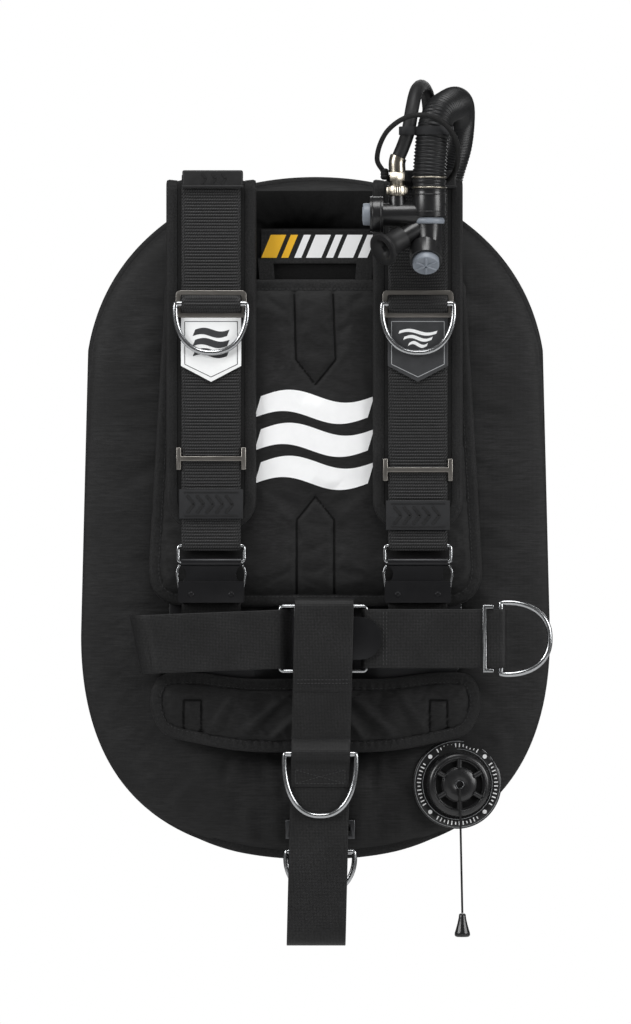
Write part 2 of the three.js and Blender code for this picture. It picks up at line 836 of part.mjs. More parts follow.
// The housing that the tongue enters, with a rear bar for the lower strap.
function clipHousing(x) {
  const half = clip.housingHalfWidth;
  const front = clipY - clip.housingDepth / 2;
  const back = clipY + clip.housingDepth / 2;
  const wall = clip.wall;
  const outer = slabY(
    roundedBox(x - half, x + half, clip.housingBottom, clip.housingTop, 2),
    front,
    back,
  );
  const inside = half - wall - RUN;
  const hollowTop = clip.housingTop - wall - clip.hollowCover;
  const hollow = box(
    [x - inside, x + inside],
    [front + wall, back - wall],
    [clip.housingBottom - 1, hollowTop],
  );
  const mouthHalf = clip.tongueHalfWidth + GAP - 1.5;
  const mouth = box(
    [x - mouthHalf, x + mouthHalf],
    [clipY - clip.tongueSteel / 2 - GAP, clipY + clip.tongueSteel / 2 + GAP],
    [clip.housingTop - clip.mouthDepth, clip.housingTop + 1],
  );
  const rearWindow = box(
    [x - inside, x + inside],
    [back - wall - 1, back + 1],
    [clip.housingTop - clip.barDrop, hollowTop],
  );
  const latchRoom = (s) => {
    const xs = [x + s * (half - 4.6), x + s * (half + 1)].sort((a, b) => a - b);
    return box(xs, [clipY - 3, clipY + 3], [clip.housingTop - 8, clip.housingTop + 1]);
  };
  return cut(outer, hollow, mouth, rearWindow, latchRoom(-1), latchRoom(1));
}

// A sprung side lever: it bows outwards beside the notch and its tip snaps into the housing.
const latchPivotZ = clip.ringBottom - 2.5;
function clipLatch(x, s) {
  const path = [
    [x + s * (clip.tongueHalfWidth - 0.3), latchPivotZ],
    [x + s * (clip.housingHalfWidth + 0.6), latchPivotZ - 4.5],
    [x + s * (clip.housingHalfWidth + 1), clip.notchZ - 1],
    [x + s * (clip.housingHalfWidth - 0.8), clip.housingTop - 6],
  ];
  const halfWidth = clip.latchWidth / 2;
  return slabY(ribbon(path, clip.latchSteel), clipY - halfWidth, clipY + halfWidth);
}

const housingBarY = clipY + clip.housingDepth / 2 - clip.wall / 2;
function lowerStrap(x) {
  const hook = clip.wall / 2 + GAP + webbing.thickness / 2 + 0.2;
  const barTop = clip.housingTop - clip.barDrop;
  const path = [
    [housingBarY - hook, clip.housingBottom + 1],
    [housingBarY - hook, barTop + hook],
    [housingBarY + hook, barTop + hook],
    [housingBarY + hook, clip.housingBottom - 6],
    [sideFrontY - 5, lowerSlotZ],
    [tailY, lowerSlotZ],
    [tailY, lowerSlotZ - 20],
  ];
  const half = webbing.width / 2;
  return slabX(ribbon(path, webbing.thickness), x - half, x + half);
}

function strapKeeper(x, z) {
  const half = keeper.width / 2;
  const inside = webbing.width / 2 + RUN;
  const front = webFrontY - GAP - keeper.wall;
  const back = webBackY + GAP + keeper.wall;
  const zs = [z - keeper.height / 2, z + keeper.height / 2];
  const room = [webFrontY - GAP, webBackY + GAP];
  const window = box([x - inside, x + inside], room, [zs[0] - 1, zs[1] + 1]);
  return cut(box([x - half, x + half], [front, back], zs), window);
}

function shoulderSet(side, x, adjusterZ) {
  place(`shoulder_pad_${side}`, shoulderPad(x), padFabric);
  place(`shoulder_webbing_${side}`, shoulderWebbing(x), webbingFabric);
  const sliderRearY = sliderFrontY + slider.steel;
  const frame = flatSlide(slider.width, slider.height, slider.bar, sliderFrontY, sliderRearY);
  place(`ring_slider_${side}`, frame.translate([x, 0, shoulderRing.z]), darkSteel);
  const ring = dRing(shoulderRing.width, shoulderRing.depth).translate([x, ringY, shoulderRing.z]);
  place(`shoulder_d_ring_${side}`, ring, steel);
  const outerBars = adjuster.height / 2 - adjuster.bar / 2;
  const slide = straddleSlide(
    adjuster.width,
    adjuster.height,
    adjuster.bar,
    adjuster.steel,
    [0],
    [-outerBars, outerBars],
  );
  place(`strap_adjuster_${side}`, slide.translate([x, 0, adjusterZ]), titanium);
  place(`strap_keeper_${side}`, strapKeeper(x, adjusterZ - keeper.drop), rubber);
  place(`clip_ring_${side}`, clipRing(x), steel);
  place(`clip_tongue_${side}`, clipTongue(x), blackMetal);
  place(`clip_housing_${side}`, clipHousing(x), blackMetal);
  place(`clip_latch_${side}_inner`, clipLatch(x, -Math.sign(x)), steel);
  place(`clip_latch_${side}_outer`, clipLatch(x, Math.sign(x)), steel);
  place(`lower_strap_${side}`, lowerStrap(x), webbingFabric);
}

shoulderSet("left", shoulder.leftX, adjuster.leftZ);
shoulderSet("right", shoulder.rightX, adjuster.rightZ);

// ---------------------------------------------------------------- waist belt
function beltStrip(path) {
  const half = webbing.width / 2;
  return slabZ(ribbon(path, webbing.thickness), belt.z - half, belt.z + half);
}

function drooped(solid, x, direction) {
  const centre = [x, 0, belt.z];
  const back = centre.map((c) => -c);
  return solid.translate(back).rotate([0, direction * belt.droopDegrees, 0]).translate(centre);
}

function leftBelt() {
  const radius = (beltTailY - belt.y) / 2;
  const middle = (beltTailY + belt.y) / 2;
  const turnX = belt.leftEnd + radius + webbing.thickness / 2;
  const path = [
    [-belt.rearInnerX, beltTailY],
    ...arc(turnX, middle, radius, 90, 270, 10),
    [buckle.left + buckle.wire + 1, belt.y],
    [buckle.crossX - 4, belt.tuckY],
    [belt.leftReach, belt.tuckY],
  ];
  return beltStrip(path);
}

const waistBarX = waistRing.right - waistRing.depth + wireRadius;
const waistLoop = wireRadius + GAP + webbing.thickness / 2 + 0.2;
const buckleLoop = (buckle.wire / 2) * squareCorner + GAP + webbing.thickness / 2 + 0.1;
const buckleBarX = buckle.right - buckle.wire / 2;
function rightBelt() {
  const returnY = belt.y + 2 * waistLoop;
  const path = [
    [belt.rearInnerX, beltTailY],
    [plate.halfWidth + 6, beltTailY],
    [waistSlide.x - waistSlide.length / 2 - 3, returnY],
    ...arc(waistBarX, belt.y + waistLoop, waistLoop, 90, -90, 8),
    [buckleBarX + 12, belt.y],
    ...arc(buckleBarX, buckle.y, buckleLoop, 270, 90, 8),
    [buckleBarX + 14, buckle.y + buckleLoop],
  ];
  return beltStrip(path);
}

function buckleFrame() {
  const r = buckle.wire / 2;
  const loop = rectangleWire(
    buckle.left + r,
    buckle.right - r,
    buckle.bottom + r,
    buckle.top - r,
    r,
    buckle.y,
  );
  return join(loop, rod(onCross(buckle.bottom + r), onCross(buckle.top - r), r, 12));
}
const onCross = (z) => v3(buckle.crossX, buckle.y, z);

const flapFront = belt.y - webbing.thickness / 2 - 2 * GAP - buckle.flapSteel;
function buckleFlap() {
  const z0 = buckle.flapBottom;
  const z1 = buckle.flapTop;
  const half = (z1 - z0) / 2;
  const shape = new THREE.Shape();
  shape.moveTo(buckle.crossX - 2, z0);
  shape.lineTo(buckle.flapRight - half, z0);
  shape.absarc(buckle.flapRight - half, z0 + half, half, -Math.PI / 2, Math.PI / 2);
  shape.lineTo(buckle.crossX - 2, z1);
  const blade = slabY(shape, flapFront, flapFront + buckle.flapSteel);
  const web = box([buckle.crossX - 2, buckle.crossX + 2], [flapFront + 0.5, buckle.y], [z0, z1]);
  const barrel = rod(onCross(z0), onCross(z1), buckle.barrel, 16);
  const bore = rod(onCross(z0 - 1), onCross(z1 + 1), buckle.wire / 2 + GAP, 12);
  return cut(join(blade, web, barrel), bore);
}

function waistSlider() {
  const half = webbing.width / 2 + RUN;
  const x = waistSlide.x;
  const length = waistSlide.length;
  const front = belt.y - webbing.thickness / 2 - GAP - waistSlide.steel;
  const back = belt.y + 2 * waistLoop + webbing.thickness / 2 + GAP + waistSlide.steel;
  const outerX = [x - waistSlide.bar / 2, x - waistSlide.bar / 2 + length];
  const side = (s) => {
    const zs = [belt.z + s * half, belt.z + s * (half + 3)].sort((a, b) => a - b);
    return box(outerX, [front, back], zs);
  };
  const barX = [outerX[0], outerX[0] + waistSlide.bar];
  const barZ = [belt.z - half - 1, belt.z + half + 1];
  const bar = (y) => box(barX, [y, y + waistSlide.steel], barZ);
  return join(side(-1), side(1), bar(front), bar(back - waistSlide.steel));
}

place("waist_belt_left", drooped(leftBelt(), buckle.crossX, -1), webbingFabric);
place("waist_belt_right", rightBelt(), webbingFabric);
place("waist_buckle_frame", buckleFrame(), steel);
place("waist_buckle_flap", buckleFlap(), blackMetal);
place("waist_ring_slider", waistSlider(), steel);
place(
  "waist_d_ring",
  dRing(waistRing.width, waistRing.depth)
    .rotate([0, -90, 0])
    .translate([waistBarX, belt.y + waistLoop, belt.z]),
  steel,
);

// ---------------------------------------------------------------- crotch strap
const tabGap = wireRadius + GAP + webbing.thickness / 2 + 0.2;
const tabSlope = 3; // height over which the tab leaves the strap
// The sewn tab that holds a ring's bar against the front of the strap at y.
function ringTab(y, z, length) {
  const sewn = y - webbing.thickness / 2;
  const outer = y - 2 * tabGap;
  const path = [
    [sewn, z + tabGap + tabSlope],
    [outer, z + tabGap],
    [outer, z - tabGap],
    [sewn, z - tabGap - tabSlope],
    [sewn, z - length],
  ];
  return { ringCentre: y - tabGap, shape: ribbon(path, webbing.thickness) };
}
const frontTab = ringTab(crotch.frontY, crotchRing.z, crotch.tabLength);
const rearTab = ringTab(crotch.rearY, rearRing.z, crotch.rearTabLength);

function crotchStrap() {
  const foldRadiusY = (crotch.rearY - crotch.frontY) / 2;
  const foldMiddleY = (crotch.rearY + crotch.frontY) / 2;
  const foldZ = crotch.fold + foldRadiusY + webbing.thickness / 2;
  const floorMiddle = floorFrontY - GAP - webbing.thickness / 2;
  const endY = floorRearY + GAP + webbing.thickness / 2;
  const mainPath = [
    [endY, crotch.slotZ + shoulder.tailLength],
    [endY, crotch.slotZ],
    [floorMiddle - 1, crotch.slotZ],
    [floorMiddle - 1, plate.bottom - 4],
    [crotch.rearY, plate.bottom - 22],
    ...arc(foldMiddleY, foldZ, foldRadiusY, 0, -180, 10),
    [crotch.frontY, crotch.loopSewn - 34],
    [crotch.loopFrontY + 1, crotch.loopSewn],
  ];
  const r = crotch.loopRadius;
  const turnZ = crotch.loopTop - r - 1;
  const loopPath = [
    [crotch.loopFrontY + 1, crotch.loopSewn - 3],
    ...arc(crotch.loopFrontY + r, turnZ, r, 180, 90, 4),
    ...arc(crotch.loopRearY - r, turnZ, r, 90, 0, 4),
    [crotch.loopRearY, crotch.loopSewn + 12],
    [crotch.loopFrontY + 3, crotch.loopSewn - 3],
  ];
  const x0 = crotch.x - webbing.width / 2;
  const x1 = crotch.x + webbing.width / 2;
  const strip = (shape) => slabX(shape, x0, x1);
  return join(
    strip(ribbon(mainPath, webbing.thickness)),
    strip(ribbon(loopPath, webbing.thickness)),
    strip(frontTab.shape),
    strip(rearTab.shape),
  );
}

place("crotch_strap", crotchStrap(), webbingFabric);
place(
  "crotch_d_ring_front",
  dRing(crotchRing.width, crotchRing.depth).translate([
    crotch.x,
    frontTab.ringCentre,
    crotchRing.z,
  ]),
  steel,
);
place(
  "crotch_d_ring_rear",
  dRing(rearRing.width, rearRing.depth).translate([crotch.x, rearTab.ringCentre, rearRing.z]),
  steel,
);
function crotchSlider() {
  const inside = webbing.width / 2 + RUN;
  const y0 = crotch.rearY - webbing.thickness / 2 - GAP;
  const y1 = crotch.rearY + webbing.thickness / 2 + GAP;
  const half = crotchSlide.width / 2;
  const x = crotch.x;
  const zs = [crotchSlide.z - crotchSlide.height / 2, crotchSlide.z + crotchSlide.height / 2];
  const steelThickness = crotchSlide.steel;
  const ys = [y0 - steelThickness, y1 + steelThickness];
  const halfBar = crotchSlide.bar / 2;
  const barX = [x - inside - 1, x + inside + 1];
  const bar = (z, y) => box(barX, [y, y + steelThickness], [z - halfBar, z + halfBar]);
  return join(
    box([x - half, x - inside], ys, zs),
    box([x + inside, x + half], ys, zs),
    bar(zs[0] + halfBar, ys[0]),
    bar(zs[1] - halfBar, ys[0]),
    bar(crotchSlide.z, y1),
  );
}
place("crotch_slider", crotchSlider(), darkSteel);

// ---------------------------------------------------------------- hoses, inflator and elbow
const hoseRoute = [
  v3(inflator.x, inflator.y, inflator.top + GAP),
  v3(inflator.x, inflator.y, inflator.top + 12),
  v3(97.5, -79.5, 260),
  v3(99.5, -77, 277),
  v3(104.5, -67, 292),
  v3(113, -47, 300),
  v3(120, -18, 303),
  v3(122, 10, 293),
  v3(120, 30, 270),
  v3(113, 41, 244),
  v3(elbow.x, elbow.y, elbow.z + elbow.rise + 11),
  v3(elbow.x, elbow.y, elbow.z + elbow.rise),
];
const lowPressureRoute = [
  v3(nipple.x, inflator.y, nipple.top + GAP + coupling.length + GAP),
  v3(nipple.x, inflator.y, nipple.top + coupling.length + 10),
  v3(73, -79.8, 262),
  v3(78, -78.5, 276),
  v3(81.5, -73, 296),
  v3(85, -60, 311),
  v3(90, -40, 317),
  v3(95, -20, 311),
  v3(97, 0, 293),
  v3(94, 20, 268),
  v3(88, 33, 238),
  v3(83, 37, 205),
  v3(82, 38, 170),
  v3(84, 38, 130),
  v3(92, 38, 90),
  v3(100, 38, 50),
  v3(104, 38, 10),
  v3(104, 38, -16),
  v3(104, 38, -30),
];
const hoseCurve = new THREE.CatmullRomCurve3(hoseRoute);
const lowPressureCurve = new THREE.CatmullRomCurve3(lowPressureRoute);

const corrugatedTube = (radius) => tube(hoseCurve, radius, 12, 22);
const lowPressureTube = (radius) => tube(lowPressureCurve, radius, 10, 30);

function curveAtZ(curve, z) {
  const points = curve.getPoints(200);
  return points.find((p) => p.z >= z);
}

function inflatorBody() {
  const { x, y } = inflator;
  const vertical = join(
    rod(v3(x, y, inflator.shoulderZ), v3(x, y, inflator.top), inflator.upperRadius, 20),
    rod(v3(x, y, inflator.lowerZ), v3(x, y, inflator.shoulderZ + 1), inflator.lowerRadius, 20),
  );
  const onArm = (armX) => v3(armX, y, inflator.armZ);
  const { housingX, housingLength, housingRadius } = inflator;
  const arm = rod(onArm(housingX + 2), onArm(x), inflator.armRadius, 16);
  const housing = rod(onArm(housingX), onArm(housingX + housingLength), housingRadius, 20);
  const buttonBore = rod(
    onArm(housingX - 1),
    onArm(housingX + housingLength - 2),
    inflateButton.radius + RUN,
    20,
  );
  const stem = rod(onArm(nipple.x), v3(nipple.x, y, nipple.top), nipple.radius, 12);
  const { housingBack, housingFront, floor, radius, wall } = exhaustButton;
  const exhaustHousing = rod(onExhaust(housingBack), onExhaust(housingFront), radius + wall, 20);
  const exhaustBore = rod(
    onExhaust(housingBack + floor),
    onExhaust(housingFront + 1),
    radius + RUN,
    20,
  );
  const neck = rod(mouthAt(0), mouthAt(mouth.neckLength), mouth.neckRadius, 12);
  return cut(join(vertical, arm, housing, stem, exhaustHousing, neck), buttonBore, exhaustBore);
}

function inflateButtonSolid() {
  const outer = inflator.housingX - inflateButton.proud;
  const at = (x) => v3(x, inflator.y, inflator.armZ);
  return rod(at(outer), at(outer + inflateButton.length), inflateButton.radius, 20);
}

const exhaustAxis = v3(0, -0.65, -0.76);
const exhaustCentre = v3(93, inflator.y - 6, 172);
const onExhaust = (distance) => exhaustCentre.clone().addScaledVector(exhaustAxis, distance);
const mouthAxis = v3(-0.8, -0.35, -0.49).normalize();
const mouthStart = v3(88, inflator.y, 196);
const mouthAt = (distance) => mouthStart.clone().addScaledVector(mouthAxis, distance);

function mouthpiece() {
  const start = mouth.neckLength + GAP;
  const end = start + mouth.length;
  const sleeve = rod(mouthAt(start), mouthAt(end), mouth.radius, 16);
  const ellipse = new THREE.Shape();
  ellipse.absellipse(0, 0, mouth.flangeHalfWidth, mouth.flangeHalfHeight, 0, 2 * Math.PI);
  const flange = extruded(ellipse, mouth.flangeThickness);
  flange.rotateZ(deg(mouth.rollDegrees));
  flange.applyQuaternion(new THREE.Quaternion().setFromUnitVectors(v3(0, 0, 1), mouthAxis));
  const seat = mouthAt(end - mouth.flangeThickness);
  flange.translate(seat.x, seat.y, seat.z);
  const bore = rod(mouthAt(start + mouth.floor), mouthAt(end + 1), mouth.bore, 16);
  return cut(join(sleeve, solidOf(flange)), bore);
}

const onCoupling = (height) => v3(nipple.x, inflator.y, nipple.top + GAP + height);
function couplingBody() {
  const end = onCoupling(coupling.length);
  const sleeve = rod(onCoupling(0), end, coupling.radius, 12);
  return join(sleeve, rod(onCoupling(coupling.hexStart), end, coupling.hexRadius, 6));
}

function couplingCollar() {
  const start = coupling.collarStart;
  const end = start + coupling.collarLength;
  const ring = rod(onCoupling(start), onCoupling(end), coupling.collarRadius, 16);
  return cut(ring, rod(onCoupling(start - 1), onCoupling(end + 1), coupling.radius + RUN, 16));
}

function threadedFitting() {
  const end = lowPressureRoute[lowPressureRoute.length - 1];
  const at = (drop) => v3(end.x, end.y, end.z - GAP - drop);
  const { radius, length, threadLength, threadRadius } = fitting;
  return join(
    rod(at(0), at(6), radius - 1, 12),
    rod(at(5), at(length), radius, 6),
    rod(at(length - 1), at(length + threadLength), threadRadius, 12),
  );
}

function hoseElbow() {
  const at = (y, z) => v3(elbow.x, y, z);
  const top = elbow.z + elbow.rise - GAP;
  const riser = rod(at(elbow.y, elbow.z), at(elbow.y, top), elbow.radius, 20);
  const knee = new THREE.SphereGeometry(elbow.radius, 16, 10);
  knee.translate(elbow.x, elbow.y, elbow.z);
  const stem = rod(at(elbowInnerY, elbow.z), at(elbow.y, elbow.z), elbow.stem, 16);
  const seatY = panelRearY + wing.rearBulge + GAP;
  const seatTop = seatY + elbow.flangeThickness;
  const flange = rod(at(seatY, elbow.z), at(seatTop, elbow.z), elbow.flange, 20);
  return join(riser, solidOf(knee), stem, flange);
}

function hoseBandSolid() {
  const a = curveAtZ(lowPressureCurve, hoseBand.z);
  const b = curveAtZ(hoseCurve, hoseBand.z);
  const z0 = hoseBand.z - hoseBand.height / 2;
  const z1 = hoseBand.z + hoseBand.height / 2;
  const ringRound = (p, radius) => rod(v3(p.x, p.y, z0), v3(p.x, p.y, z1), radius, 20);
  const outer = join(
    ringRound(a, lowPressureHose.radius + RUN + hoseBand.wall),
    ringRound(b, hose.radius + RUN + hoseBand.wall),
  );
  return cut(
    outer,
    lowPressureTube(lowPressureHose.radius + RUN),
    corrugatedTube(hose.radius + RUN),
  );
}

function bungeeLoop() {
  const points = [
    v3(57.5, -77, 243),
    v3(52, -82, 253),
    v3(60, -94, 276),
    v3(80, -101, 289),
    v3(102, -101, 287),
    v3(118, -93, 270),
    v3(119, -78, 247),
    v3(108, -62, 234),
    v3(84, -61, 233),
    v3(64, -68, 236),
    v3(58.5, -76.5, 240.5),
  ];
  const loop = tube(new THREE.CatmullRomCurve3(points), bungee.radius, 8, 30);
  const knot = rod(v3(58.4, -77.2, 236.5), v3(58.4, -77.2, 245), bungee.knot, 10);
  return join(loop, knot);
}

place("hose_elbow", hoseElbow(), blackPlastic);
place("corrugated_hose", corrugatedTube(hose.radius), rubber);
place("inflator_body", inflatorBody(), blackPlastic);
place("inflate_button", inflateButtonSolid(), greyPlastic);
place(
  "exhaust_button",
  rod(onExhaust(exhaustButton.back), onExhaust(exhaustButton.front), exhaustButton.radius, 20),
  greyPlastic,
);
place("mouthpiece", mouthpiece(), rubber);
place("lp_hose", lowPressureTube(lowPressureHose.radius), rubber);
place("qd_coupling", couplingBody(), nickel);
place("qd_collar", couplingCollar(), nickel);
place("hose_fitting", threadedFitting(), nickel);
place("hose_band", hoseBandSolid(), rubber);
place("bungee_loop", bungeeLoop(), rubber);

// ---------------------------------------------------------------- dump valve
function valveBase() {
  const flange = valveRod(0, valve.flangeThickness, valve.flangeRadius, 32);
  const throat = valveRod(throatInner, 1, valve.capRadius - 1, 24);
  const inside = valveRod(throatInner + 2, valve.flangeThickness + 1, valve.plungerRadius + 3, 20);
  return cut(join(flange, throat), inside);
}

function valveCap() {
  const z0 = valve.flangeThickness + GAP;
  const outer = valveRod(z0, z0 + valve.capHeight, valve.capRadius, 36);
  const top = z0 + valve.capHeight;
  const inside = valveRod(z0 - 1, top - valve.capWall, valve.capRadius - valve.capWall, 24);
  const slots = [];
  for (let i = 0; i < valve.slots; i += 1) {
    slots.push(capSlot((360 / valve.slots) * i, top));
  }
  const eyelet = valveRod(top - 2 * valve.capWall, top + 1, valve.eyelet, 12);
  return cut(outer, inside, eyelet, ...slots);
}

function capSlot(angle, top) {
  const from = angle - valve.slotDegrees / 2;
  const to = angle + valve.slotDegrees / 2;
  const shape = shapeOf([
    ...arc(0, 0, valve.slotOuter, from, to, 4),
    ...arc(0, 0, valve.hubRadius, to, from, 4),
  ]);
  const geometry = extruded(shape, 4 * valve.capWall);
  geometry.translate(0, 0, -2 * valve.capWall);
  geometry.applyQuaternion(new THREE.Quaternion().setFromUnitVectors(v3(0, 0, 1), valveAxis));
  const centre = onValve(top);
  geometry.translate(centre.x, centre.y, centre.z);
  return solidOf(geometry);
}

function valvePlunger() {
  const top = valve.flangeThickness + GAP + valve.capHeight - valve.capWall;
  return join(
    valveRod(throatInner + 2 + GAP, throatInner + 5, valve.plungerRadius, 20),
    valveRod(throatInner + 4, top - valve.plungerTravel - 2, valve.stemRadius, 10),
  );
}

place("dump_valve_base", valveBase(), blackPlastic);
place("dump_valve_cap", valveCap(), blackPlastic);
place("valve_plunger", valvePlunger(), rubber);

const hubFront = onValve(valve.flangeThickness + GAP + valve.capHeight);
const cordY = hubFront.y - pullCord.radius - 2 * GAP;
const cordTop = v3(hubFront.x, cordY, valve.z - pullCord.drop);
const cordEnd = v3(hubFront.x + pullCord.lean, cordY, pullCord.bottom + GAP);
place("pull_cord", tube(new THREE.LineCurve3(cordTop, cordEnd), pullCord.radius, 8, 2), cordFabric);
place(
  "pull_knob",
  rod(
    v3(cordEnd.x, cordEnd.y, pullCord.bottom),
    v3(cordEnd.x, cordEnd.y, pullCord.bottom - pullKnob.length),
    pullKnob.topRadius,
    16,
    pullKnob.bottomRadius,
  ),
  rubber,
);

export default group;
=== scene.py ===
import json
import math

import bpy
from bpy.props import FloatProperty, FloatVectorProperty, PointerProperty
from mathutils import Matrix, Vector, noise
from mathutils.bvhtree import BVHTree
from mathutils.kdtree import KDTree


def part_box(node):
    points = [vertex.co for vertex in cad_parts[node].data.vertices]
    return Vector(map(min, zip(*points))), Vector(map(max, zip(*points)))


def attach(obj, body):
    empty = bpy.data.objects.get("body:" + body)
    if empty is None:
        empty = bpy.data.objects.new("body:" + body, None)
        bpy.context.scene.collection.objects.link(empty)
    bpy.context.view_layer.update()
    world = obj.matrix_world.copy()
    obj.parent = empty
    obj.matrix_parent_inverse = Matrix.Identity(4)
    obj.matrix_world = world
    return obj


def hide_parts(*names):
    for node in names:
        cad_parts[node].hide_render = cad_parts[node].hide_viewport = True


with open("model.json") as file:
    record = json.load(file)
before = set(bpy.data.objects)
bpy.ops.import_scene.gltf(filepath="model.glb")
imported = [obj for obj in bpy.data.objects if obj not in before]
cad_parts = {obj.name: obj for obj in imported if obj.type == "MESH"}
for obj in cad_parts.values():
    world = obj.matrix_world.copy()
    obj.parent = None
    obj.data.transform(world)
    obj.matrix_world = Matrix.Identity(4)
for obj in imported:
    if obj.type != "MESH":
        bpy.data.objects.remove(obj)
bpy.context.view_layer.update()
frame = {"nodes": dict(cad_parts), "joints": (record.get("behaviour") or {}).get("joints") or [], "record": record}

bl_info = {
    "name": "Diving vest",
    "version": (1, 0, 0),
    "blender": (4, 5, 0),
    "location": "View3D > Sidebar > Vest",
    "description": "Builds a single-cylinder diving vest around its packed frame",
    "category": "Object",
}

MM = 0.001
TURN = 2 * math.pi
STRAP_WIDTH = 50 * MM
STRAP_THICKNESS = 2 * MM
SIDES = {"left": -1, "right": 1}


# ------------------------------------------------------------------ small tools
def mm(x, y, z):
    """A point given in millimetres."""
    return Vector((x, y, z)) * MM


def node_box(node):
    """Lowest corner, highest corner and middle of a node of the frame."""
    low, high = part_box(node)
    return low, high, (low + high) / 2


def deselect():
    if bpy.context.object and bpy.context.object.mode != "OBJECT":
        bpy.ops.object.mode_set(mode="OBJECT")
    bpy.ops.object.select_all(action="DESELECT")


def choose(piece):
    """Makes a piece the only one selected."""
    deselect()
    piece.select_set(True)
    bpy.context.view_layer.objects.active = piece


def apply_place(piece):
    """Moves a piece's place into its mesh, so the object itself sits at the origin."""
    choose(piece)
    bpy.ops.object.transform_apply(location=True, rotation=True, scale=True)


def modify(piece, kind, **settings):
    """Adds a modifier with its settings and applies it."""
    choose(piece)
    modifier = piece.modifiers.new(kind.title(), kind)
    for key, value in settings.items():
        setattr(modifier, key, value)
    bpy.ops.object.modifier_apply(modifier=modifier.name)
    return piece


def tidy_mesh(piece, distance=1e-6):
    """Merges doubles, then turns every face outwards."""
    choose(piece)
    bpy.ops.object.mode_set(mode="EDIT")
    bpy.ops.mesh.select_all(action="SELECT")
    bpy.ops.mesh.remove_doubles(threshold=distance)
    bpy.ops.mesh.normals_make_consistent(inside=False)
    bpy.ops.object.mode_set(mode="OBJECT")
    return piece


def smooth(piece, degrees=40):
    choose(piece)
    bpy.ops.object.shade_smooth_by_angle(angle=math.radians(degrees))
    return piece


def joined(name, pieces):
    """Several meshes as one piece."""
    deselect()
    for piece in pieces:
        piece.select_set(True)
    bpy.context.view_layer.objects.active = pieces[0]
    if len(pieces) > 1:
        bpy.ops.object.join()
    whole = bpy.context.object
    whole.name = name
    return whole


def done(piece, name, look, body, replaces=(), degrees=40):
    """Names a finished piece, dresses it, hangs it on its body and hides the parts that it replaces."""
    piece.name = name
    piece.data.name = name
    if look is not None:
        piece.data.materials.clear()
        piece.data.materials.append(LOOKS[look])
    if degrees is not None:
        smooth(piece, degrees)
    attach(piece, body)
    if replaces:
        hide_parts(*replaces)
    return piece


def dressed(node, ending, look, body, bevel, segments):
    """A node's own shape with its edges eased by so many millimetres, finished and named."""
    piece = refined(node, bevel * MM, segments)
    return done(piece, node + ending, look, body, [node])


def shaped_grid(across, along, place):
    """A grid primitive whose points are set by place(u, v), both from 0 to 1."""
    deselect()
    bpy.ops.mesh.primitive_grid_add(x_subdivisions=across, y_subdivisions=along, size=1)
    piece = bpy.context.object
    for vertex in piece.data.vertices:
        vertex.co = place(vertex.co.x + 0.5, vertex.co.y + 0.5)
    return piece


def cylinder(start, end, radius, sides=32, end_radius=None, bevel=0.0, segments=2):
    """A round bar between two points, with its edges eased."""
    deselect()
    axis = end - start
    top = radius if end_radius is None else end_radius
    bpy.ops.mesh.primitive_cone_add(
        vertices=sides, radius1=radius, radius2=top, depth=axis.length, location=(0, 0, 0)
    )
    piece = bpy.context.object
    turn = Vector((0, 0, 1)).rotation_difference(axis.normalized()).to_matrix().to_4x4()
    piece.data.transform(Matrix.Translation((start + end) / 2) @ turn)
    if bevel:
        modify(piece, "BEVEL", width=bevel, segments=segments, limit_method="ANGLE", angle_limit=0.8)
    return piece


def block(low, high, bevel=0.0, segments=3):
    """A box between two corners, with its edges eased."""
    deselect()
    bpy.ops.mesh.primitive_cube_add(size=1, location=(low + high) / 2)
    piece = bpy.context.object
    piece.scale = high - low
    apply_place(piece)
    if bevel:
        modify(piece, "BEVEL", width=bevel, segments=segments, limit_method="ANGLE", angle_limit=0.6)
    return piece


def refined(node, bevel=0.4 * MM, segments=2, degrees=32):
    """A copy of a node of the frame with its facets merged and its edges eased."""
    source = frame["nodes"][node]
    piece = source.copy()
    piece.data = source.data.copy()
    piece.parent = None
    for key in list(piece.keys()):
        del piece[key]
    bpy.context.scene.collection.objects.link(piece)
    choose(piece)
    bpy.ops.object.mode_set(mode="EDIT")
    bpy.ops.mesh.select_all(action="SELECT")
    bpy.ops.mesh.remove_doubles(threshold=2e-6)
    bpy.ops.mesh.dissolve_limited(angle_limit=math.radians(0.5))
    bpy.ops.object.mode_set(mode="OBJECT")
    if bevel:
        modify(
            piece, "BEVEL", width=bevel, segments=segments, limit_method="ANGLE",
            angle_limit=math.radians(degrees), use_clamp_overlap=True,
        )
    return piece


# ------------------------------------------------------------------ lines
def catmull(route, count):
    """Points at even parameter steps on the centripetal spline through a route."""
    ends = [route[0] * 2 - route[1], *route, route[-1] * 2 - route[-2]]
    spans = len(route) - 1
    points = []
    for i in range(count + 1):
        at = min(i / count * spans, spans - 1e-9)
        k = int(at)
        points.append(catmull_span(ends[k : k + 4], at - k))
    return points


def catmull_span(four, share):
    """One span's point, as the spline's own velocity at both of its ends says."""
    p0, p1, p2, p3 = four
    d0, d1, d2 = ((b - a).length ** 0.5 for a, b in ((p0, p1), (p1, p2), (p2, p3)))
    leave = ((p1 - p0) / d0 - (p2 - p0) / (d0 + d1) + (p2 - p1) / d1) * d1
    enter = ((p2 - p1) / d1 - (p3 - p1) / (d1 + d2) + (p3 - p2) / d2) * d1
    square, cube = share * share, share**3
    return (
        p1 * (2 * cube - 3 * square + 1)
        + leave * (cube - 2 * square + share)
        + p2 * (3 * square - 2 * cube)
        + enter * (cube - square)
    )


def length_of(points):
    return sum((b - a).length for a, b in zip(points, points[1:]))


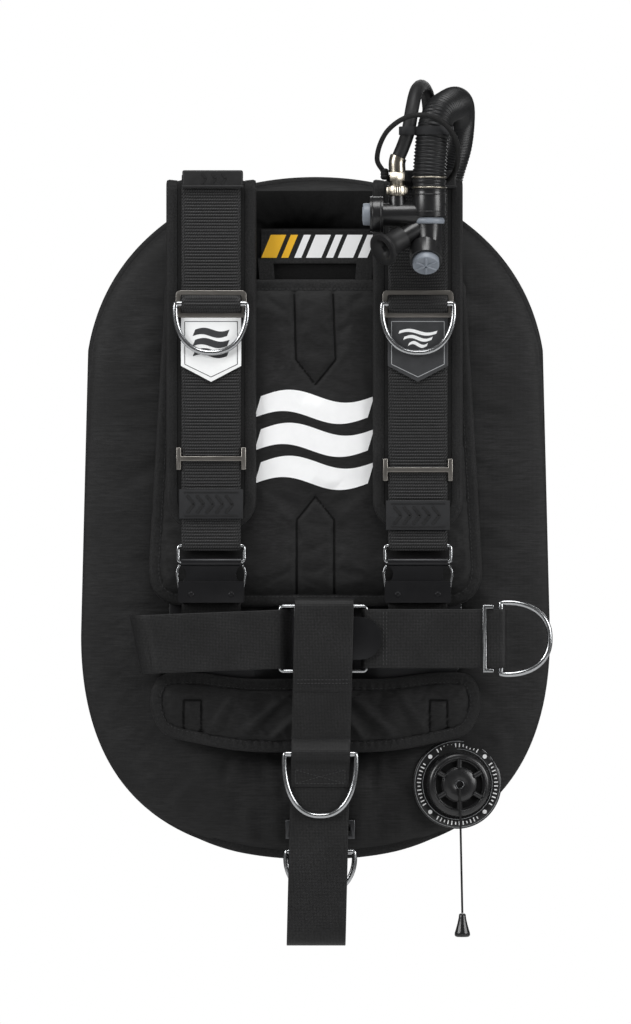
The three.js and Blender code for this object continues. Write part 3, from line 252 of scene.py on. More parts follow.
def evenly(points, step):
    """The same line with its points a fixed step apart."""
    total = length_of(points)
    count = max(2, round(total / step))
    out, k, walked = [points[0]], 0, 0.0
    for i in range(1, count):
        goal = total * i / count
        while walked + (points[k + 1] - points[k]).length < goal:
            walked += (points[k + 1] - points[k]).length
            k += 1
        span = (points[k + 1] - points[k]).length
        out.append(points[k].lerp(points[k + 1], (goal - walked) / span))
    return [*out, points[-1]]


def rounded(points, times=2):
    """The same line with its corners cut, again and again, until they are soft."""
    for _ in range(times):
        cut = [points[0]]
        for a, b in zip(points, points[1:]):
            reach = min(0.25, 3 * MM / max((b - a).length, 1e-6))
            cut += [a.lerp(b, reach), b.lerp(a, reach)]
        points = [*cut, points[-1]]
    return points


def carried_frames(points, closed=False):
    """For each point its tangent and two normals that don't twist along the line."""
    n = len(points)
    tangents = []
    for i in range(n):
        before = points[i - 1] if i or closed else points[0]
        after = points[(i + 1) % n] if i < n - 1 or closed else points[-1]
        tangents.append((after - before).normalized())
    seed = Vector((0, 1, 0)) if abs(tangents[0].y) < 0.9 else Vector((1, 0, 0))
    normal = (seed - tangents[0] * seed.dot(tangents[0])).normalized()
    rows = []
    for tangent in tangents:
        normal = (normal - tangent * normal.dot(tangent)).normalized()
        rows.append((tangent, normal, tangent.cross(normal)))
    return rows


def tube(points, radius, sides=16, closed=False, caps=True):
    """A round tube along a line. radius is a number or a function of the point's index."""
    rows = carried_frames(points, closed)
    reach = radius if callable(radius) else lambda i: radius
    last = len(points) - (0 if closed else 1)

    def place(u, v):
        i = round(v * last) % len(points)
        angle = TURN * u
        _, normal, side = rows[i]
        return points[i] + (normal * math.cos(angle) + side * math.sin(angle)) * reach(i)

    piece = shaped_grid(sides, last, place)
    choose(piece)
    bpy.ops.object.mode_set(mode="EDIT")
    bpy.ops.mesh.select_all(action="SELECT")
    bpy.ops.mesh.remove_doubles(threshold=1e-6)
    if caps and not closed:
        bpy.ops.mesh.select_all(action="DESELECT")
        bpy.ops.mesh.select_non_manifold()
        bpy.ops.mesh.fill_holes(sides=0)
    bpy.ops.mesh.select_all(action="SELECT")
    bpy.ops.mesh.normals_make_consistent(inside=False)
    bpy.ops.object.mode_set(mode="OBJECT")
    return piece


# ------------------------------------------------------------------ finishes
def finish_of(name, colour, roughness, metallic=0.0, **inputs):
    """A new material with its even values on the shader's own sockets."""
    material = bpy.data.materials.new(name)
    material.use_nodes = True
    shader = material.node_tree.nodes["Principled BSDF"]
    shader.inputs["Base Color"].default_value = (*colour, 1)
    shader.inputs["Roughness"].default_value = roughness
    shader.inputs["Metallic"].default_value = metallic
    for key, value in inputs.items():
        shader.inputs[key.replace("_", " ")].default_value = value
    return material


def add(material, kind, values=(), **settings):
    """A node with its settings; each value goes to the input of that name or number."""
    made = material.node_tree.nodes.new("ShaderNode" + kind)
    for key, value in settings.items():
        setattr(made, key, value)
    for key, value in dict(values).items():
        if isinstance(value, bpy.types.NodeSocket):
            material.node_tree.links.new(value, made.inputs[key])
        else:
            made.inputs[key].default_value = value
    return made


def to_shader(material, socket, value):
    shader = material.node_tree.nodes["Principled BSDF"]
    material.node_tree.links.new(value, shader.inputs[socket])


def place_on(material, scale=(1, 1, 1), turn=(0, 0, 0), uv=False):
    """Coordinates in metres on the object, or along a strap on its own map."""
    coords = add(material, "TexCoord")
    source = coords.outputs["UV" if uv else "Object"]
    return add(material, "Mapping", {"Vector": source, "Scale": scale, "Rotation": turn}).outputs[0]


def noise_on(material, where, scale, detail=3, roughness=0.5):
    values = {"Vector": where, "Scale": scale, "Detail": detail, "Roughness": roughness}
    return add(material, "TexNoise", values).outputs["Fac"]


def reckon(material, operation, a, b=0.0, c=0.0):
    return add(material, "Math", {0: a, 1: b, 2: c}, operation=operation).outputs[0]


def mixed(material, share, first, second):
    """A colour between two, by a share."""
    node = add(material, "Mix", {0: share}, data_type="RGBA")
    for number, colour in ((6, first), (7, second)):
        if isinstance(colour, bpy.types.NodeSocket):
            material.node_tree.links.new(colour, node.inputs[number])
        else:
            node.inputs[number].default_value = (*colour, 1)
    return node.outputs[2]


def ramp(material, share, low, high):
    """A share squeezed between two levels."""
    values = {0: share, 1: low, 2: high, 3: 0.0, 4: 1.0}
    return add(material, "MapRange", values).outputs[0]


def bump(material, height, distance, strength=1.0, onto=None):
    values = {"Height": height, "Distance": distance, "Strength": strength}
    if onto is not None:
        values["Normal"] = onto
    return add(material, "Bump", values).outputs[0]


def waves(material, where, axis, pitch):
    """A sine from 0 to 1 across one axis, with its crests a pitch apart."""
    part = add(material, "SeparateXYZ", {0: where}).outputs[axis]
    turned = reckon(material, "MULTIPLY", part, TURN / pitch)
    return reckon(material, "MULTIPLY_ADD", reckon(material, "SINE", turned), 0.5, 0.5)


def shade(colour, factor):
    return tuple(min(1, c * factor) for c in colour)


def woven(name, colour, pitch, depth, streak, roughness, sheen=0.0, uv=False, tint=1.9, weave=0.25):
    """Plain-woven cloth: crossed threads, slubs along the weft and a little unevenness."""
    material = finish_of(name, colour, roughness, Sheen_Weight=sheen, Specular_IOR_Level=0.2)
    where = place_on(material, uv=uv)
    across = waves(material, where, 0, pitch)
    along = waves(material, where, 1 if uv else 2, pitch)
    threads = reckon(material, "MULTIPLY", across, along)
    slubs = noise_on(material, place_on(material, streak, uv=uv), 1, 3, 0.65)
    patches = noise_on(material, where, 22, 2)
    share = reckon(material, "MULTIPLY_ADD", ramp(material, slubs, 0.38, 0.72), 1 - weave, 0.0)
    share = reckon(material, "MULTIPLY_ADD", threads, weave, share)
    share = reckon(material, "MULTIPLY", share, ramp(material, patches, 0.05, 0.75))
    to_shader(material, "Base Color", mixed(material, share, shade(colour, 0.6), shade(colour, tint)))
    height = reckon(material, "MULTIPLY_ADD", slubs, 0.8, threads)
    to_shader(material, "Normal", bump(material, height, depth, 0.8))
    return material


def brushed(name, colour, roughness, grain, metallic=1.0):
    """Metal with fine scratches along one way and slight tarnish."""
    material = finish_of(name, colour, roughness, metallic)
    scratches = noise_on(material, place_on(material, grain), 1, 4, 0.7)
    blotches = noise_on(material, place_on(material), 90, 3)
    rough = reckon(material, "MULTIPLY_ADD", scratches, 0.16, roughness - 0.08)
    to_shader(material, "Roughness", reckon(material, "MULTIPLY_ADD", blotches, 0.08, rough))
    to_shader(material, "Base Color", mixed(material, blotches, shade(colour, 0.86), shade(colour, 1.1)))
    to_shader(material, "Normal", bump(material, scratches, 0.02 * MM, 0.35))
    return material


def moulded(name, colour, roughness, grain=900, depth=0.03, spread=1.5, gloss=0.5):
    """Moulded rubber or plastic with a fine grain and handling marks."""
    material = finish_of(name, colour, roughness, Specular_IOR_Level=gloss)
    where = place_on(material)
    fine = noise_on(material, where, grain, 2)
    marks = noise_on(material, where, 120, 4, 0.7)
    darker = 1 - (spread - 1) * 0.5
    to_shader(material, "Base Color", mixed(material, marks, shade(colour, darker), shade(colour, spread)))
    to_shader(material, "Roughness", reckon(material, "MULTIPLY_ADD", marks, 0.22, roughness - 0.11))
    to_shader(material, "Normal", bump(material, fine, depth * MM, 0.6))
    return material


LOOKS = {}


def make_looks():
    """Every finish of the vest, once."""
    dress = bpy.context.scene.vest_colours
    black = tuple(dress.cloth)
    tape = tuple(dress.webbing)
    steel = tuple(dress.steel)
    LOOKS.update(
        shell=woven("shell cloth", black, 1.1 * MM, 0.12 * MM, (70, 260, 900), 0.62, 0.02),
        # Near-black matt sheet: painted shade, laid on places that lie in shadow (wing top centre, plate cover,
        # pad seam gaps, valve window floors).
        lining=woven("matt lining", shade(black, 0.22), 1.1 * MM, 0.1 * MM, (500, 500, 500), 0.9),
        pad=woven("pad cloth", shade(black, 0.72), 0.8 * MM, 0.06 * MM, (160, 300, 700), 0.66, 0.02),
        nap=woven(
            "brushed pad face", shade(black, 0.42), 0.9 * MM, 0.1 * MM, (900, 900, 900), 0.9, 0.15,
            tint=3.0
        ),
        tape=woven(
            "binding tape", shade(tape, 0.8), 1.2 * MM, 0.12 * MM, (700, 700, 700), 0.7, 0.02, tint=2.6
        ),
        strap=woven(
            "flat webbing", shade(tape, 0.66), 1.25 * MM, 0.17 * MM, (500, 500, 260), 0.5, 0.0, True, 4.6, 0.7
        ),
        ribbed=rib_cloth(shade(tape, 0.55)),
        thread=moulded("sewing thread", (0.03, 0.03, 0.031), 0.6, 2500, 0.05, gloss=0.25),
        plate=brushed("coated plate", (0.03, 0.03, 0.032), 0.42, (60, 60, 2200), 0.7),
        steel=brushed("polished steel", steel, 0.2, (300, 300, 300)),
        dark_steel=brushed("coated steel", (0.1, 0.102, 0.106), 0.32, (1200, 1200, 1200)),
        titanium=brushed("warm grey metal", (0.27, 0.255, 0.235), 0.34, (60, 900, 1800)),
        black_metal=brushed("black coated metal", (0.016, 0.016, 0.0175), 0.3, (90, 900, 2200), 0.6),
        nickel=brushed("nickel plate", (0.36, 0.33, 0.275), 0.26, (500, 500, 500)),
        rubber=moulded("soft rubber", (0.010, 0.010, 0.0104), 0.55, gloss=0.3),
        keeper=moulded("grey rubber", (0.016, 0.0163, 0.0175), 0.66, 700, gloss=0.25),
        hose=moulded("hose rubber", (0.009, 0.0092, 0.0097), 0.4, gloss=0.28),
        plastic=moulded("black plastic", (0.009, 0.009, 0.0095), 0.3, 1500, 0.012),
        grey=moulded("grey plastic", (0.2, 0.222, 0.255), 0.45, 1200, 0.02, 1.15),
        film=moulded("bladder film", (0.04, 0.045, 0.052), 0.5),
        white=moulded("white print", (0.80, 0.805, 0.81), 0.6, 900, 0.05, 1.07),
        yellow=moulded("yellow print", (0.80, 0.44, 0.015), 0.6, 900, 0.05, 1.1),
        paper=moulded("white vinyl", (0.86, 0.87, 0.87), 0.5, 1800, 0.01, 1.06),
        slate=moulded("dark vinyl", (0.028, 0.029, 0.031), 0.5, 1800, 0.01),
        ash=moulded("pale grey print", (0.33, 0.34, 0.35), 0.55, 1800, 0.01, 1.1),
        cord=woven("braided cord", (0.012, 0.012, 0.012), 0.8 * MM, 0.08 * MM, (900, 900, 900), 0.7),
    )


def rib_cloth(colour):
    """Ribbed webbing: its ribs are in the mesh, so the cloth adds the twill dashes on them."""
    material = finish_of("ribbed webbing", colour, 0.48, Specular_IOR_Level=0.25)
    where = place_on(material, uv=True)
    parts = add(material, "SeparateXYZ", {0: where})
    lean = reckon(material, "MULTIPLY_ADD", parts.outputs[1], 0.7, parts.outputs[0])
    dashes = reckon(material, "SINE", reckon(material, "MULTIPLY", lean, TURN / (2.1 * MM)))
    dashes = reckon(material, "MULTIPLY_ADD", dashes, 0.5, 0.5)
    fibres = noise_on(material, place_on(material, (2600, 700, 1), uv=True), 1, 3, 0.6)
    share = reckon(material, "MULTIPLY", dashes, ramp(material, fibres, 0.2, 0.8))
    to_shader(material, "Base Color", mixed(material, share, shade(colour, 0.2), shade(colour, 7.0)))
    height = reckon(material, "MULTIPLY_ADD", fibres, 0.5, dashes)
    to_shader(material, "Normal", bump(material, height, 0.12 * MM, 0.9))
    return material


# ------------------------------------------------------------------ soft shapes
def wing_outline(top, bottom, upper_half, upper_z, lower_half, lower_z, count):
    """A loop of points round an oval of two different ends, starting at the top."""
    p = [Vector((0, top)), Vector((upper_half * 0.62, top))]
    p += [Vector((upper_half * 0.945, upper_z + (top - upper_z) * 0.49)), Vector((upper_half, upper_z))]
    q = [Vector((lower_half, lower_z)), Vector((lower_half, lower_z + (bottom - lower_z) * 0.55))]
    q += [Vector((lower_half * 0.77, bottom)), Vector((0, bottom))]
    fine = [bezier(p, i / 60) for i in range(61)] + [bezier(q, i / 60) for i in range(61)]
    half = evenly(fine, length_of(fine) / (count // 2))
    return half + [Vector((-a.x, a.y)) for a in half[-2:0:-1]]


def bezier(four, share):
    a, b, c, d = four
    left = 1 - share
    return a * left**3 + b * 3 * left * left * share + c * 3 * left * share * share + d * share**3


def swell(share):
    return math.sqrt(max(0.0, 1 - (2 * share - 1) ** 2))


def hum(x, z, scale, seed=0.0):
    """Smooth unevenness between about -1 and 1 at a place on the cloth."""
    return noise.noise(Vector((x / scale, z / scale, seed)))


def stitches(path, step, long, radius, lift=Vector()):
    """A row of short threads along a path; lift is the way the cloth faces."""
    bits = []
    points = evenly(path, step)
    for a, b in zip(points, points[1:]):
        way = (b - a).normalized()
        middle = (a + b) / 2 + lift
        bits.append((middle - way * long / 2, middle + way * long / 2))
    return thread_mesh(bits, radius, "thread")


def thread_mesh(bits, radius, look):
    """Many short threads in one mesh, each a small six-sided bead with tapered ends."""
    rings = [(0.0, 0.45), (0.2, 1.0), (0.8, 1.0), (1.0, 0.45)]
    verts, faces = [], []
    for a, b in bits:
        _, normal, side = carried_frames([a, b])[0]
        base = len(verts)
        for along, fat in rings:
            for k in range(6):
                angle = TURN * k / 6
                verts.append(
                    a.lerp(b, along) + (normal * math.cos(angle) + side * math.sin(angle)) * radius * fat
                )
        for r in range(3):
            for k in range(6):
                n = (k + 1) % 6
                faces.append(
                    (base + r * 6 + k, base + r * 6 + n, base + r * 6 + 6 + n, base + r * 6 + 6 + k)
                )
        faces.append(tuple(base + k for k in range(5, -1, -1)))
        faces.append(tuple(base + 18 + k for k in range(6)))
    mesh = bpy.data.meshes.new("threads")
    mesh.from_pydata([tuple(p) for p in verts], [], faces)
    mesh.materials.append(LOOKS[look])
    piece = bpy.data.objects.new("threads", mesh)
    bpy.context.scene.collection.objects.link(piece)
    return piece


def strap(path, middle, ribs=0.0, pitch=2.6 * MM, side_axis="x", width=STRAP_WIDTH, step=None, wave=0.0):
    """A strap of webbing along a line in its own plane. ribs is how far its ribs stand out."""
    spacing = step or (pitch / 4 if ribs else 2.5 * MM)
    line = evenly(path, spacing)
    rows = len(line) - 1
    tangents = [(line[min(i + 1, rows)] - line[max(i - 1, 0)]).normalized() for i in range(rows + 1)]
    across = Vector((1, 0, 0)) if side_axis == "x" else Vector((0, 0, 1))
    columns = 14
    half = STRAP_THICKNESS / 2

    def place(u, v):
        i = round(v * rows)
        normal = across.cross(tangents[i])
        edge = min(u, 1 - u) * width
        crown = min(1.0, edge / (2.2 * MM))
        rib = ribs * crown * math.cos(TURN * i * spacing / pitch)
        sway = wave * hum(i * spacing / MM, middle / MM, 45)
        return line[i] + across * (middle + (u - 0.5) * width + sway) + normal * (rib - ribs * 0.3)

    piece = shaped_grid(columns, rows, place)
    layer = piece.data.uv_layers.active.data
    total = rows * spacing
    for loop in piece.data.loops:
        u, v = layer[loop.index].uv
        layer[loop.index].uv = (u * width, v * total)
    modify(piece, "SOLIDIFY", thickness=2 * (half - ribs * 0.5), offset=0)
    modify(
        piece, "BEVEL", width=0.55 * MM, segments=2, limit_method="ANGLE", angle_limit=math.radians(60)
    )
    return piece


class Outline:
    """A closed outline in x and z, in millimetres, that starts at the top and runs clockwise."""

    def __init__(self, points, step=1.5):
        self.points = evenly([*points, points[0]], step)[:-1]
        self.middle = sum(self.points, Vector((0, 0))) / len(self.points)
        self.tree = KDTree(len(self.points))
        for i, point in enumerate(self.points):
            self.tree.insert((point.x, point.y, 0), i)
        self.tree.balance()

    def at(self, share):
        place = (share % 1) * len(self.points)
        i = int(place)
        n = len(self.points)
        return self.points[i % n].lerp(self.points[(i + 1) % n], place - i)

    def inward(self, share):
        n = len(self.points)
        way = self.at(share + 1.5 / n) - self.at(share - 1.5 / n)
        return Vector((way.y, -way.x)).normalized()

    def distance(self, x, z):
        return self.tree.find((x, z, 0))[2]

    def spot(self, u, v):
        """Where a point of a square grid lies when the square is drawn to the outline."""
        a, b = 2 * u - 1, 2 * v - 1
        reach = max(abs(a), abs(b))
        if reach < 1e-6:
            return self.middle.copy()
        a, b = a / reach, b / reach
        if b >= 1 - 1e-9:
            share = a / 8
        elif a >= 1 - 1e-9:
            share = 0.25 - b / 8
        elif b <= -1 + 1e-9:
            share = 0.5 - a / 8
        else:
            share = 0.75 + b / 8
        return self.middle.lerp(self.at(share), reach)


def corner_outline(corners, radii):
    """An outline through corners, each rounded by its radius, clockwise from the middle of the first side."""
    n = len(corners)
    points = [(corners[0] + corners[1]) / 2]
    for k in range(1, n + 1):
        here, before, after = corners[k % n], corners[(k - 1) % n], corners[(k + 1) % n]
        radius = radii[k % n]
        start = here + (before - here).normalized() * radius
        end = here + (after - here).normalized() * radius
        for i in range(9):
            share = i / 8
            points.append(start * (1 - share) ** 2 + here * 2 * share * (1 - share) + end * share**2)
    return Outline(points)


def ramped(value, low, high):
    share = min(1.0, max(0.0, (value - low) / (high - low)))
    return share * share * (3 - 2 * share)


def pad_form(outline, cells, surface, y_rear):
    """A closed pad: surface(x, z, d) is how far its face stands ahead of its flat back."""

    def face(u, v):
        point = outline.spot(u, v)
        edge = min(u, v, 1 - u, 1 - v) < 1e-6
        rise = 0 if edge else surface(point.x, point.y, outline.distance(point.x, point.y))
        return mm(point.x, y_rear - rise, point.y)

    def back(u, v):
        point = outline.spot(u, v)
        return mm(point.x, y_rear, point.y)

    front = shaped_grid(cells, cells, face)
    whole = joined("pad", [front, shaped_grid(cells, cells, back)])
    return tidy_mesh(whole)


def binding(outline, y_rear, edge, width, count, gather=0.0):
    """Tape folded over the edge of a pad and sewn down on both faces."""
    section = [(width, 0.35), (1.5, 0.45), (-0.9, -0.4), (-1.2, -edge / 2), (-0.9, 0.2 - edge)]
    section += [(1.2, -edge - 0.8), (width * 0.55, -edge - 1.0), (width, -edge - 0.7)]

    def place(u, v):
        k = v * (len(section) - 1)
        i = min(int(k), len(section) - 2)
        inset = section[i][0] + (section[i + 1][0] - section[i][0]) * (k - i)
        rise = section[i][1] + (section[i + 1][1] - section[i][1]) * (k - i)
        point = outline.at(u)
        ripple = gather * math.sin(TURN * u * 97 + 3 * hum(u * 100, 0, 3)) * ramped(v, 0.6, 1)
        spot = point + outline.inward(u) * inset
        return mm(spot.x, y_rear + rise - ripple, spot.y)

    piece = tidy_mesh(shaped_grid(count, (len(section) - 1) * 2, place))
    return modify(piece, "SOLIDIFY", thickness=0.5 * MM, offset=0)


def seam_path(outline, inset, y, count=500):
    points = []
    for i in range(count + 1):
        share = i / count
        point = outline.at(share) + outline.inward(share) * inset
        points.append(mm(point.x, y, point.y))
    return points


def puffed(piece, held, pressure, spare, cap, frames=20):
    """Inflates a piece as cloth. held(point) is 1 where it is sewn down; spare is its extra cloth."""
    group = piece.vertex_groups.new(name="held")
    before = [vertex.co.copy() for vertex in piece.data.vertices]
    for i, point in enumerate(before):
        group.add([i], held(point), "REPLACE")
    modifier = piece.modifiers.new("Cloth", "CLOTH")
    cloth = modifier.settings
    cloth.quality = 6
    cloth.mass = 0.12
    cloth.bending_stiffness = 0.02
    cloth.vertex_group_mass = "held"
    cloth.use_pressure = True
    cloth.uniform_pressure_force = pressure
    cloth.shrink_min = -spare
    cloth.effector_weights.gravity = 0
    modifier.point_cache.frame_start = 1
    modifier.point_cache.frame_end = frames
    for step in range(1, frames + 1):
        bpy.context.scene.frame_set(step)
    choose(piece)
    bpy.ops.object.modifier_apply(modifier=modifier.name)
    bpy.context.scene.frame_set(1)
    for vertex, start in zip(piece.data.vertices, before):
        moved = vertex.co - start
        if moved.length > cap:
            vertex.co = start + moved.normalized() * cap
    piece.vertex_groups.clear()
    return piece


def laid_on(piece, base, lift, ahead=0.12):
    """Drops a flat piece onto a base from the front, point by point."""
    tree = BVHTree.FromObject(base, bpy.context.evaluated_depsgraph_get())
    for vertex in piece.data.vertices:
        start = Vector((vertex.co.x, vertex.co.y - ahead, vertex.co.z))
        hit = tree.ray_cast(start, Vector((0, 1, 0)))[0]
        if hit is not None:
            vertex.co.y = hit.y - lift
    return piece


def band(start, end, height, cells=24, lean=0.0, wave=0.0, y=0.0, rows=4):
    """A flat strip of print between two points in x and z; lean slants its ends."""

    def place(u, v):
        along = start.lerp(end, u)
        up = (v - 0.5) * height
        ripple = wave * math.sin(TURN * u)
        return mm(along.x + up * lean, y, along.y + up + ripple)

    return shaped_grid(cells, rows, place)


# ------------------------------------------------------------------ wing
OVERHANG = 3.4  # how far the swollen sides reach past their seam, in millimetres
BAND_SLOTS = [(x, z) for x in (-61, 61) for z in (-80, 80)]  # middles of the slots for the bands
BAND_SLOT_HALF = (3.5, 27)  # half a slot's width and height
BOLT_Z = 139.7  # each bolt's distance from the middle: an eleven-inch pattern
BOLT_HOLE = 4.5  # radius
BLADDER_FILL = 0.7  # how much of the wing's depth the bladder takes up


def wing_panel(outer, inner, facing, bulge, settings):
    """One half of the wing: a ring that swells between its seams, and the flat web inside it."""
    seam = node_box("wing_rear_panel")[0].y / MM - 0.15
    around, turn_in, across, web = len(outer), 5, 30, 6
    flange = 0.055
    waist = 3.5 if facing < 0 else 6.0

    def place(u, v):
        i = round(u * around) % around
        step = v * (turn_in + across + web)
        side = overhang_share(outer[i])
        if step > turn_in + across:
            share = (step - turn_in - across) / web
            middle = Vector((0, (inner[0].y + inner[around // 2].y) / 2))
            spot = inner[i].lerp(middle, share)
            return mm(spot.x, seam + facing * 0.6, spot.y)
        if step < turn_in:
            angle = math.pi / 2 * step / turn_in
            way = (inner[i] - outer[i]).normalized()
            spot = outer[i] + way * OVERHANG * side * (1 - math.sin(angle))
            rise = 0.5 + (waist - 0.5) * side * (1 - math.cos(angle))
            return mm(spot.x, seam + facing * rise, spot.y)
        share = (1 - math.cos(math.pi * (step - turn_in) / across)) / 2
        spot = outer[i].lerp(inner[i], share)
        depth = (outer[i] - spot).length
        inside = max(0.0, (share - flange * (1 - side)) / (1 - flange * (1 - side)))
        low = 0.5 + (waist - 0.5) * side * (1 - ramped(inside, 0, 0.5))
        rise = low + (bulge + 0.5 - low) * swell(inside) ** 0.95
        lower = ramped(-spot.y, 150, 300) + 0.35 * ramped(spot.y, 120, 220)
        pucker = math.sin(TURN * i / around * 46 + 4 * hum(spot.x, spot.y, 60)) ** 3
        rise -= settings.pucker / MM * pucker * lower * ramped(depth, 8, 16) * (1 - ramped(depth, 18, 52))
        uneven = hum(spot.x, spot.y, 70, facing) + 0.4 * hum(spot.x, spot.y, 26)
        rise += settings.sag / MM * uneven * swell(share)
        return mm(spot.x, seam + facing * max(0.5, rise), spot.y)

    piece = shaped_grid(around, turn_in + across + web, place)
    return tidy_mesh(piece, 2e-6), seam


def wing_held(outer_outline, inner_z):

    def held(point):
        d = outer_outline.distance(point.x / MM, point.z / MM)
        inside = abs(point.x) < 74 * MM and inner_z[0] < point.z / MM < inner_z[1]
        return 1.0 if d < 11 or inside else 1 - ramped(d, 11, 40) * 0.96

    return held




def overhang_share(point):
    """How much of the overhang a place on the outline has: all at the hips, none at the top."""
    return ramped(abs(point.x), 60, 150) * (1 - 0.75 * ramped(point.y, -60, 190))


def drawn_in(outer, inner):
    """The seam's own line, which the swollen sides hide."""
    return [p + (q - p).normalized() * OVERHANG * overhang_share(p) for p, q in zip(outer, inner)]


class VEST_OT_wing(bpy.types.Operator):
    """Sews the wing: two bulging panels, the bound seam round them and the label at the top"""

    bl_idname = "vest.wing"
    bl_label = "Wing"

    def execute(self, context):
        settings = context.scene.vest_soft
        low, high, _ = node_box("wing_front_panel")
        top, bottom, half = high.z / MM, low.z / MM, high.x / MM
        outer = wing_outline(top, bottom, half - 6, 93, half, -150, 360)
        inner = wing_outline(198, -246, 76, 122, 76, -170, 360)
        edge = Outline(drawn_in(outer, inner))
        for node, facing, bulge in (("wing_front_panel", -1, 14), ("wing_rear_panel", 1, 28)):
            panel, seam = wing_panel(outer, inner, facing, bulge, settings)
            panel = puffed(panel, wing_held(edge, (-240, 190)), 1.2, 0.012, 3.5 * MM, 14)
            modify(panel, "SOLIDIFY", thickness=0.8 * MM, offset=-1)
            drilled(panel, [self.openings()])
            done(panel, node + "_cloth", "shell", "vest", [node], 60)
            if facing < 0:
                self.painted_shade_patch(panel)
        self.slot_tapes(seam)
        self.seam(edge, seam)
        self.label(context)
        bladder = refined("wing_bladder", 0)
        for vertex in bladder.data.vertices:
            vertex.co.y = seam * MM + (vertex.co.y - seam * MM) * BLADDER_FILL
        done(bladder, "wing_bladder_film", "film", "vest", ["wing_bladder"], 60)
        return {"FINISHED"}

    def openings(self):
        """What is cut through the flat middle: four slots for the cylinder's bands, two bolt holes."""
        tools = []
        w, h = BAND_SLOT_HALF
        for x, z in BAND_SLOTS:
            tools.append(block(mm(x - w, -20, z - h), mm(x + w, 10, z + h)))
        for z in (-BOLT_Z, BOLT_Z):
            tools.append(cylinder(mm(0, -20, z), mm(0, 10, z), BOLT_HOLE * MM, 24))
        return joined("openings", tools)

    def slot_tapes(self, seam):
        made = []
        for x, z in BAND_SLOTS:
            for y in (seam - 1.0, seam + 1.0):
                made.append(wire_loop(x - 4.6, x + 4.6, z - 28.2, z + 28.2, y, 1.0, 3.0))
        done(joined("tapes", made), "band_slot_tapes", "tape", "vest", degrees=60)

    def painted_shade_patch(self, panel):
        """A near-black sheet laid on between the shoulders: painted shade where the wing's top lies in shadow."""

        def place(u, v):
            return mm(-62 + 124 * u, -60, 196 + 33 * v)

        patch = laid_on(shaped_grid(60, 16, place), panel, 0.7 * MM)
        patch = modify(patch, "SOLIDIFY", thickness=0.5 * MM, offset=0)
        done(patch, "painted_shade_patch", "lining", "vest", degrees=60)

    def seam(self, edge, seam):
        """The tape sewn round the edge, with its stitches on both faces."""
        tape = binding(edge, seam + 1.6, 3.2, 8.5, 900)
        done(tape, "wing_binding", "tape", "vest", degrees=60)
        rows = []
        for y, lift in ((seam - 2.7, -0.15), (seam + 2.15, 0.15)):
            path = seam_path(edge, 6.8, y, 900)
            rows.append(stitches(path, 4.2 * MM, 2.9 * MM, 0.32 * MM, mm(0, lift, 0)))
        done(joined("wing_stitches", rows), "wing_stitches", None, "vest")

    def label(self, context):
        """The cover over the plate's top, near-black as painted shade, its printed band and the two loops that
        hold it.
        """
        plate = node_box("backplate")[0].y
        front = plate / MM - 0.6

        def cover(u, v):
            x = -60 + 128 * u
            z = 149 + 48 * v
            return mm(x, front - 0.5 * math.sin(math.pi * u) - 0.5 * hum(x, z, 22), z)

        # The cover's near-black look is painted shade: this region lies in shadow.
        piece = modify(shaped_grid(60, 24, cover), "SOLIDIFY", thickness=1.2 * MM, offset=0)
        done(piece, "plate_cover", "lining", "vest", degrees=60)

        def printed(u, v):
            x = -46 + 108 * u
            z = 167 + 29 * v
            hem = 0.5 if min(v, 1 - v) < 0.12 else 0.0
            return mm(x, front - 2.0 - hem - 0.7 * math.sin(math.pi * u), z)

        ribbon = shaped_grid(60, 24, printed)
        ribbon = modify(ribbon, "SOLIDIFY", thickness=0.9 * MM, offset=0)
        ribbon = done(ribbon, "label_band", "tape", "vest", degrees=60)
        self.marks(ribbon)
        for x0, x1, name in ((-47, -34, "left"), (33, 47, "right")):
            lean = 2 if x0 > 0 else -2

            def loop(u, v):
                z = 146 + 25 * v
                return mm(x0 + (x1 - x0) * u + lean * v, front - 3.6 - 0.4 * math.sin(math.pi * v), z)

            flap = modify(shaped_grid(10, 16, loop), "SOLIDIFY", thickness=1.1 * MM, offset=0)
            done(flap, "cover_loop_" + name, "tape", "vest", degrees=60)

    def marks(self, ribbon):
        """A plain mark of slanted bars, which stands for no one's."""
        y = ribbon.data.vertices[0].co.y / MM
        groups = (
            ("yellow", [(-42, 13), (-25, 6)]),
            ("white", [(-14, 6), (-4, 13), (13, 6), (23, 13), (40, 8)])
        )
        for look, bars in groups:
            made = []
            for x, width in bars:
                bar = band(Vector((x, 181.5)), Vector((x + width, 181.5)), 19.5, 8, 0.42, 0, y)
                made.append(
                    modify(laid_on(bar, ribbon, 0.2 * MM), "SOLIDIFY", thickness=0.25 * MM, offset=0)
                )
            done(joined("bars", made), "label_mark_" + look, look, "vest")


# ------------------------------------------------------------------ pads
def line_distance(x, z, a, b):
    """Distance from a point to the stretch from a to b."""
    point = Vector((x, z))
    way = b - a
    share = min(1.0, max(0.0, (point - a).dot(way) / way.length_squared))
    return (point - a - way * share).length


def seam_dip(x, z, seams, depth, width):
    nearest = min(line_distance(x, z, a, b) for a, b in seams)
    return depth * math.exp(-((nearest / width) ** 2)), nearest


